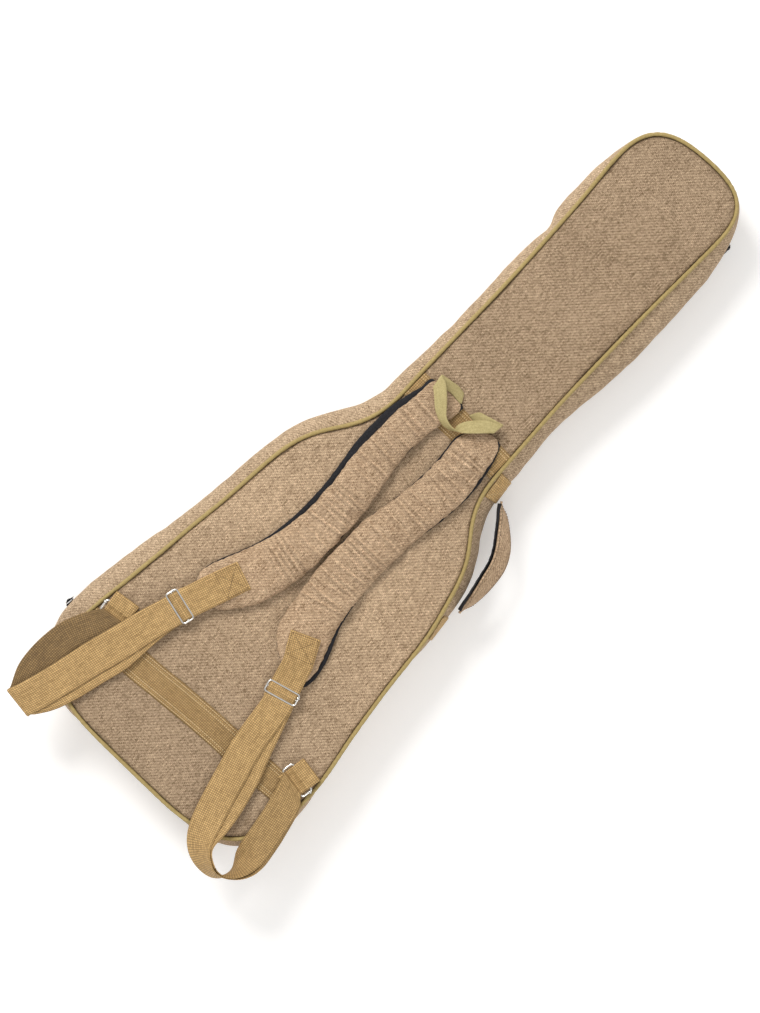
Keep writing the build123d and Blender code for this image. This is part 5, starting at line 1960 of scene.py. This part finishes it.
def pocket_zip(name, ring, on_zip):
    tape = inset(ring, -1.05)[on_zip]
    run = run_length(tape, False)
    for part_name, z_low, z_high, replaces in (("low", 4.3, 6.2, (name + "_zip",)),
                                               ("high", 6.6, 8.5, ())):
        edges = np.stack([at_height(tape, z_low), at_height(tape, z_high)])
        mesh_object(name + "_zip_tape_" + part_name, strap(edges, 0.6, columns=7), ZIP_TAPE,
                    "zip_tape", "front_shell", replaces)
    count = int(run[-1] / 0.8)
    number = np.arange(count)
    line = interp_rows(np.linspace(0, run[-1], count), run, inset(ring, -1.45)[on_zip])
    line = at_height(line, 6.4 + 0.32 * np.where(number % 4 < 2, 1, -1))
    mesh_object(name + "_zip_teeth", tube(line, 0.42 + 0.28 * (number % 2), 7, closed=False),
                COIL, "zip_coil", "front_shell")


def pocket(name, ring, spine, on_zip, seed):
    """Pocket of an outline, its zip along the points where on_zip is true."""
    rows = 44
    count = len(ring)
    total = run_length(ring)[-1]
    run = run_length(ring)[:count]

    def height(plan, depth):
        sag = 0.55 * soft_noise(plan, 120, seed) + 0.35 * soft_noise(plan, 38, seed + 1)
        pucker = (0.5 * ring_noise(np.repeat(run, rows), total, 12, seed + 2)
                  * np.exp(-depth / 7.0))
        return (0.9 + np.maximum(0.4 * sag, -0.55) + 1.7 * np.exp(-depth / 2.4)
                + np.maximum(pucker, -0.3))

    filled_outline(name + "_front_canvas", inset(ring, 2.0), spine, rows, height, CANVAS,
                   "canvas", "front_shell", (name + "_panel",), thickness=1.1)
    wall = level_rows(ring, [(0.6, 2.0), (0.0, 3.0), (-0.4, 6.0), (-0.3, 9.2), (0.2, 11.2),
                             (0.4, 12.4)])
    wave = (0.4 * ring_noise(run, total, 30, seed + 3)[:, None]
            * np.array([0, 0.5, 1, 1, 0.5, 0]))
    wall[..., :2] -= left_normals(ring)[:, None, :] * wave[..., None]
    part = (wall.reshape(-1, 3), grid_faces(count, wall.shape[1], wrap=True),
            grid_uv(run[:, None], row_lengths(wall)))
    mesh_object(name + "_side_canvas", part, CANVAS_SIDE, "canvas", "front_shell",
                (name + "_wall",), thickness=1.0)
    cord = resample(at_height(inset(ring, -0.1), 2.2), 900, raw=True)
    mesh_object(name + "_cord", tube(cord, 1.55, 10), CORD, "piping", "front_shell")
    pocket_zip(name, ring, unbroken_run(on_zip))


pocket_field = inset(RIM_RING, 13.0)
ring = cut_ring(pocket_field, pocket_field[:, 1] <= 250.0)
x, y = ring.T
pocket("main_pocket", ring, (-150.0, 215.0), (x < 0) & (y > -120.0) & (y < 235.0), 601)
ring = cut_ring(pocket_field, pocket_field[:, 1] >= 600.0)
x, y = ring.T
pocket("head_pocket", ring, (635.0, 728.0), (x > 0) & (y > 625.0) & (y < 745.0), 602)


# =============================================================================
# Zip sliders and pulls: local x along the zip, y away from the case, z up
# =============================================================================
def bevel_box(low, high, radius):
    bm = bmesh.new()
    bmesh.ops.create_cube(bm, size=1.0)
    for vertex in bm.verts:
        vertex.co = Vector([(a + b) / 2 + c * (b - a)
                            for a, b, c in zip(low, high, vertex.co)])
    bmesh.ops.bevel(bm, geom=bm.edges[:] + bm.verts[:], offset=radius, segments=3,
                    profile=0.6, affect="EDGES")
    bm.verts.ensure_lookup_table()
    points = np.array([vertex.co[:] for vertex in bm.verts])
    faces = [[vertex.index for vertex in face.verts] for face in bm.faces]
    bm.free()
    return points, faces, points[:, :2]


def bridge(points, count, half_width, thickness, columns):
    """Arched strip over the top of a slider."""
    line = resample_rows(points, count)
    edges = np.stack([line + UP_AXIS * z for z in (-half_width, half_width)])
    return strap(edges, thickness, columns=columns)


def big_tag():
    """Rounded flat tag hanging below its link."""
    outline = [(-3.0, -5.2), (-3.9, -8.0), (-3.9, -22.5), (-3.0, -25.6), (0, -27.0),
               (3.0, -25.6), (3.9, -22.5), (3.9, -8.0), (3.0, -5.2), (0, -4.4)]
    count = 90
    levels = ((0.8, 4.25), (0.25, 4.35), (0.0, 4.7), (0.0, 5.1), (0.25, 5.45), (0.9, 5.55),
              (1.6, 5.3), (2.2, 5.25))
    rows = level_rows(resample(outline, count)[::-1], levels)[:, :, [0, 2, 1]]
    columns = len(levels)
    first = np.arange(count) * columns
    faces = grid_faces(count, columns, wrap=True)
    faces += [first.tolist(), (first + columns - 1)[::-1].tolist()]
    points = rows.reshape(-1, 3)
    return points, faces, points[:, [0, 2]]


def big_slider_parts():
    return [
        bevel_box((-6, 0.0, -5.4), (6, 0.9, 5.4), 0.4),
        bevel_box((-6, 1.2, -5.4), (6, 2.3, 5.4), 0.5),
        bevel_box((2.6, 0.3, -1.4), (6, 2.0, 1.4), 0.4),
        bridge([(-4.6, 2.2, 0.0), (-4.2, 3.4, 0.0), (-2.0, 5.6, 0.3), (0.5, 6.2, 0.4),
                (2.8, 5.2, 0.2), (4.2, 3.2, 0.0), (4.6, 2.2, 0.0)], count=40,
               half_width=1.5, thickness=0.8, columns=7),
    ]


def big_pull_parts():
    link = np.array([(3.2 * math.cos(t), 5.0 + 0.15 * math.sin(2 * t),
                      -2.4 + 3.4 * math.sin(t))
                     for t in np.linspace(0, 2 * np.pi, 40, endpoint=False)])
    return [tube(link, 0.62, 10), big_tag()]


def small_slider_parts():
    return [
        bevel_box((-4.5, 0.0, -2.9), (4.5, 1.0, 2.9), 0.35),
        bevel_box((-4.5, 1.2, -2.6), (4.5, 2.3, 2.6), 0.4),
        bevel_box((1.8, 0.2, -0.9), (4.5, 2.0, 0.9), 0.3),
        bridge([(-2.8, 2.2, 0), (-2.2, 3.3, 0), (0, 4.1, 0), (2.2, 3.3, 0), (2.8, 2.2, 0)],
               count=24, half_width=0.9, thickness=0.6, columns=5),
    ]


def small_pull_parts():
    return [
        bevel_box((-23.8, 2.85, -2.4), (-4.0, 3.95, 2.4), 0.5),
        bevel_box((-5.0, 2.9, -1.1), (-0.4, 3.7, 1.1), 0.3),
        bevel_box((-21.5, 3.7, -1.5), (-8.0, 4.15, 1.5), 0.2),
    ]


def place_metal(name, parts, body, slot, origin, direction, out):
    points, faces, uv = joined(parts)
    along, away = np.array([*direction, 0.0]), np.array([*out, 0.0])
    placed = origin + points[:, :1] * along + points[:, 1:2] * away + points[:, 2:] * UP_AXIS
    if np.cross(along, away)[2] < 0:
        faces = [face[::-1] for face in faces]
    face_outward(mesh_object(name, (placed, faces, uv), BLACK_METAL, slot, body, (body,)))


def slider_and_pull(names, bodies, pivot, direction, right, sink, shift, parts):
    """names and bodies of slider and pull; sink and shift move them in and along."""
    ux, uy = direction
    out = (uy, -ux) if (uy > 0) == right else (-uy, ux)
    origin = (np.array(pivot) - np.array([*out, 0]) * sink
              + np.array([*direction, 0]) * shift)
    for name, body, slot, make_parts in zip(names, bodies, ("zip_metal", "zip_pull"), parts):
        place_metal(name, make_parts(), body, slot, origin, direction, out)


POCKET_ZIP_Z = 6.4
# name, pivot, direction along the zip (x, y), whether on the right side
for name, pivot, direction, right in (
        ("a", (-198.0, -146.53, ZIP_Z), (0.1007, 0.9949), False),
        ("b", (89.17, 742.6, ZIP_Z), (0.1961, -0.9806), True)):
    slider_and_pull((f"slider_{name}_metal", f"pull_{name}_tag"),
                    (f"zip_slider_{name}", f"zip_pull_{name}"), pivot, direction, right,
                    sink=4.9, shift=0.0, parts=(big_slider_parts, big_pull_parts))
for name, pivot, direction, right in (
        ("main_pocket", (-155.756, 25.567, POCKET_ZIP_Z), (-0.1713, -0.9852), False),
        ("head_pocket", (86.865, 640.349, POCKET_ZIP_Z), (-0.0692, 0.9976), True)):
    slider_and_pull((name + "_slider_metal", name + "_pull_tag"),
                    (name + "_slider", name + "_pull"), pivot, direction, right,
                    sink=3.4, shift=0.5, parts=(small_slider_parts, small_pull_parts))


# =============================================================================
# Stage, light and camera, in metres
# =============================================================================
def studio_floor():
    color = (0.93, 0.93, 0.93, 1)
    material = bpy.data.materials.new("floor_white")
    material.use_nodes = True
    inputs = material.node_tree.nodes["Principled BSDF"].inputs
    inputs["Base Color"].default_value = color
    inputs["Roughness"].default_value = 0.9
    inputs["Emission Color"].default_value = color
    inputs["Emission Strength"].default_value = 0.2
    bpy.ops.mesh.primitive_plane_add(size=30, location=(0, 0.25, -0.0006))
    floor = bpy.context.object
    floor.name = "studio_floor"
    floor.data.materials.append(material)


def studio_world():
    world = bpy.data.worlds.new("studio")
    bpy.context.scene.world = world
    world.use_nodes = True
    color, strength = world.node_tree.nodes["Background"].inputs[:2]
    color.default_value = (1.0, 0.985, 0.965, 1)
    strength.default_value = 0.62


def area_light(name, location, size, power, color):
    target = Vector((0, 0.25, 0.05))
    data = bpy.data.lights.new(name, "AREA")
    data.shape = "DISK"
    data.size = size
    data.energy = power
    data.color = color
    light = bpy.data.objects.new(name, data)
    bpy.context.scene.collection.objects.link(light)
    light.location = location
    toward = target - Vector(location)
    light.rotation_euler = toward.to_track_quat("-Z", "Y").to_euler()


def top_camera():
    """Camera above the back, with the case running up the diagonal of its view."""
    target, distance = Vector((0.0003, 0.208, 0.090)), 3.461
    data = bpy.data.cameras.new("camera")
    data.lens = 100
    data.sensor_width = 36
    data.sensor_fit = "AUTO"
    data.clip_start = 0.05
    data.clip_end = 100
    camera = bpy.data.objects.new("camera", data)
    bpy.context.scene.collection.objects.link(camera)
    right = Vector((0.719, 0.695, 0)).normalized()
    up = Vector((-0.695, 0.719, 0)).normalized()
    toward = right.cross(up)
    rotation = Matrix((right, up, toward)).transposed().to_4x4()
    camera.matrix_world = Matrix.Translation(target + toward * distance) @ rotation
    bpy.context.scene.camera = camera


studio_floor()
studio_world()
area_light("key", (-2.3, 0.9, 2.6), size=1.6, power=88, color=(1, 0.985, 0.96))
area_light("fill", (1.8, -0.8, 2.8), size=2.4, power=26, color=(1, 0.99, 0.98))
top_camera()
bpy.context.scene.view_settings.view_transform = "Standard"
bpy.context.scene.view_settings.look = "None"
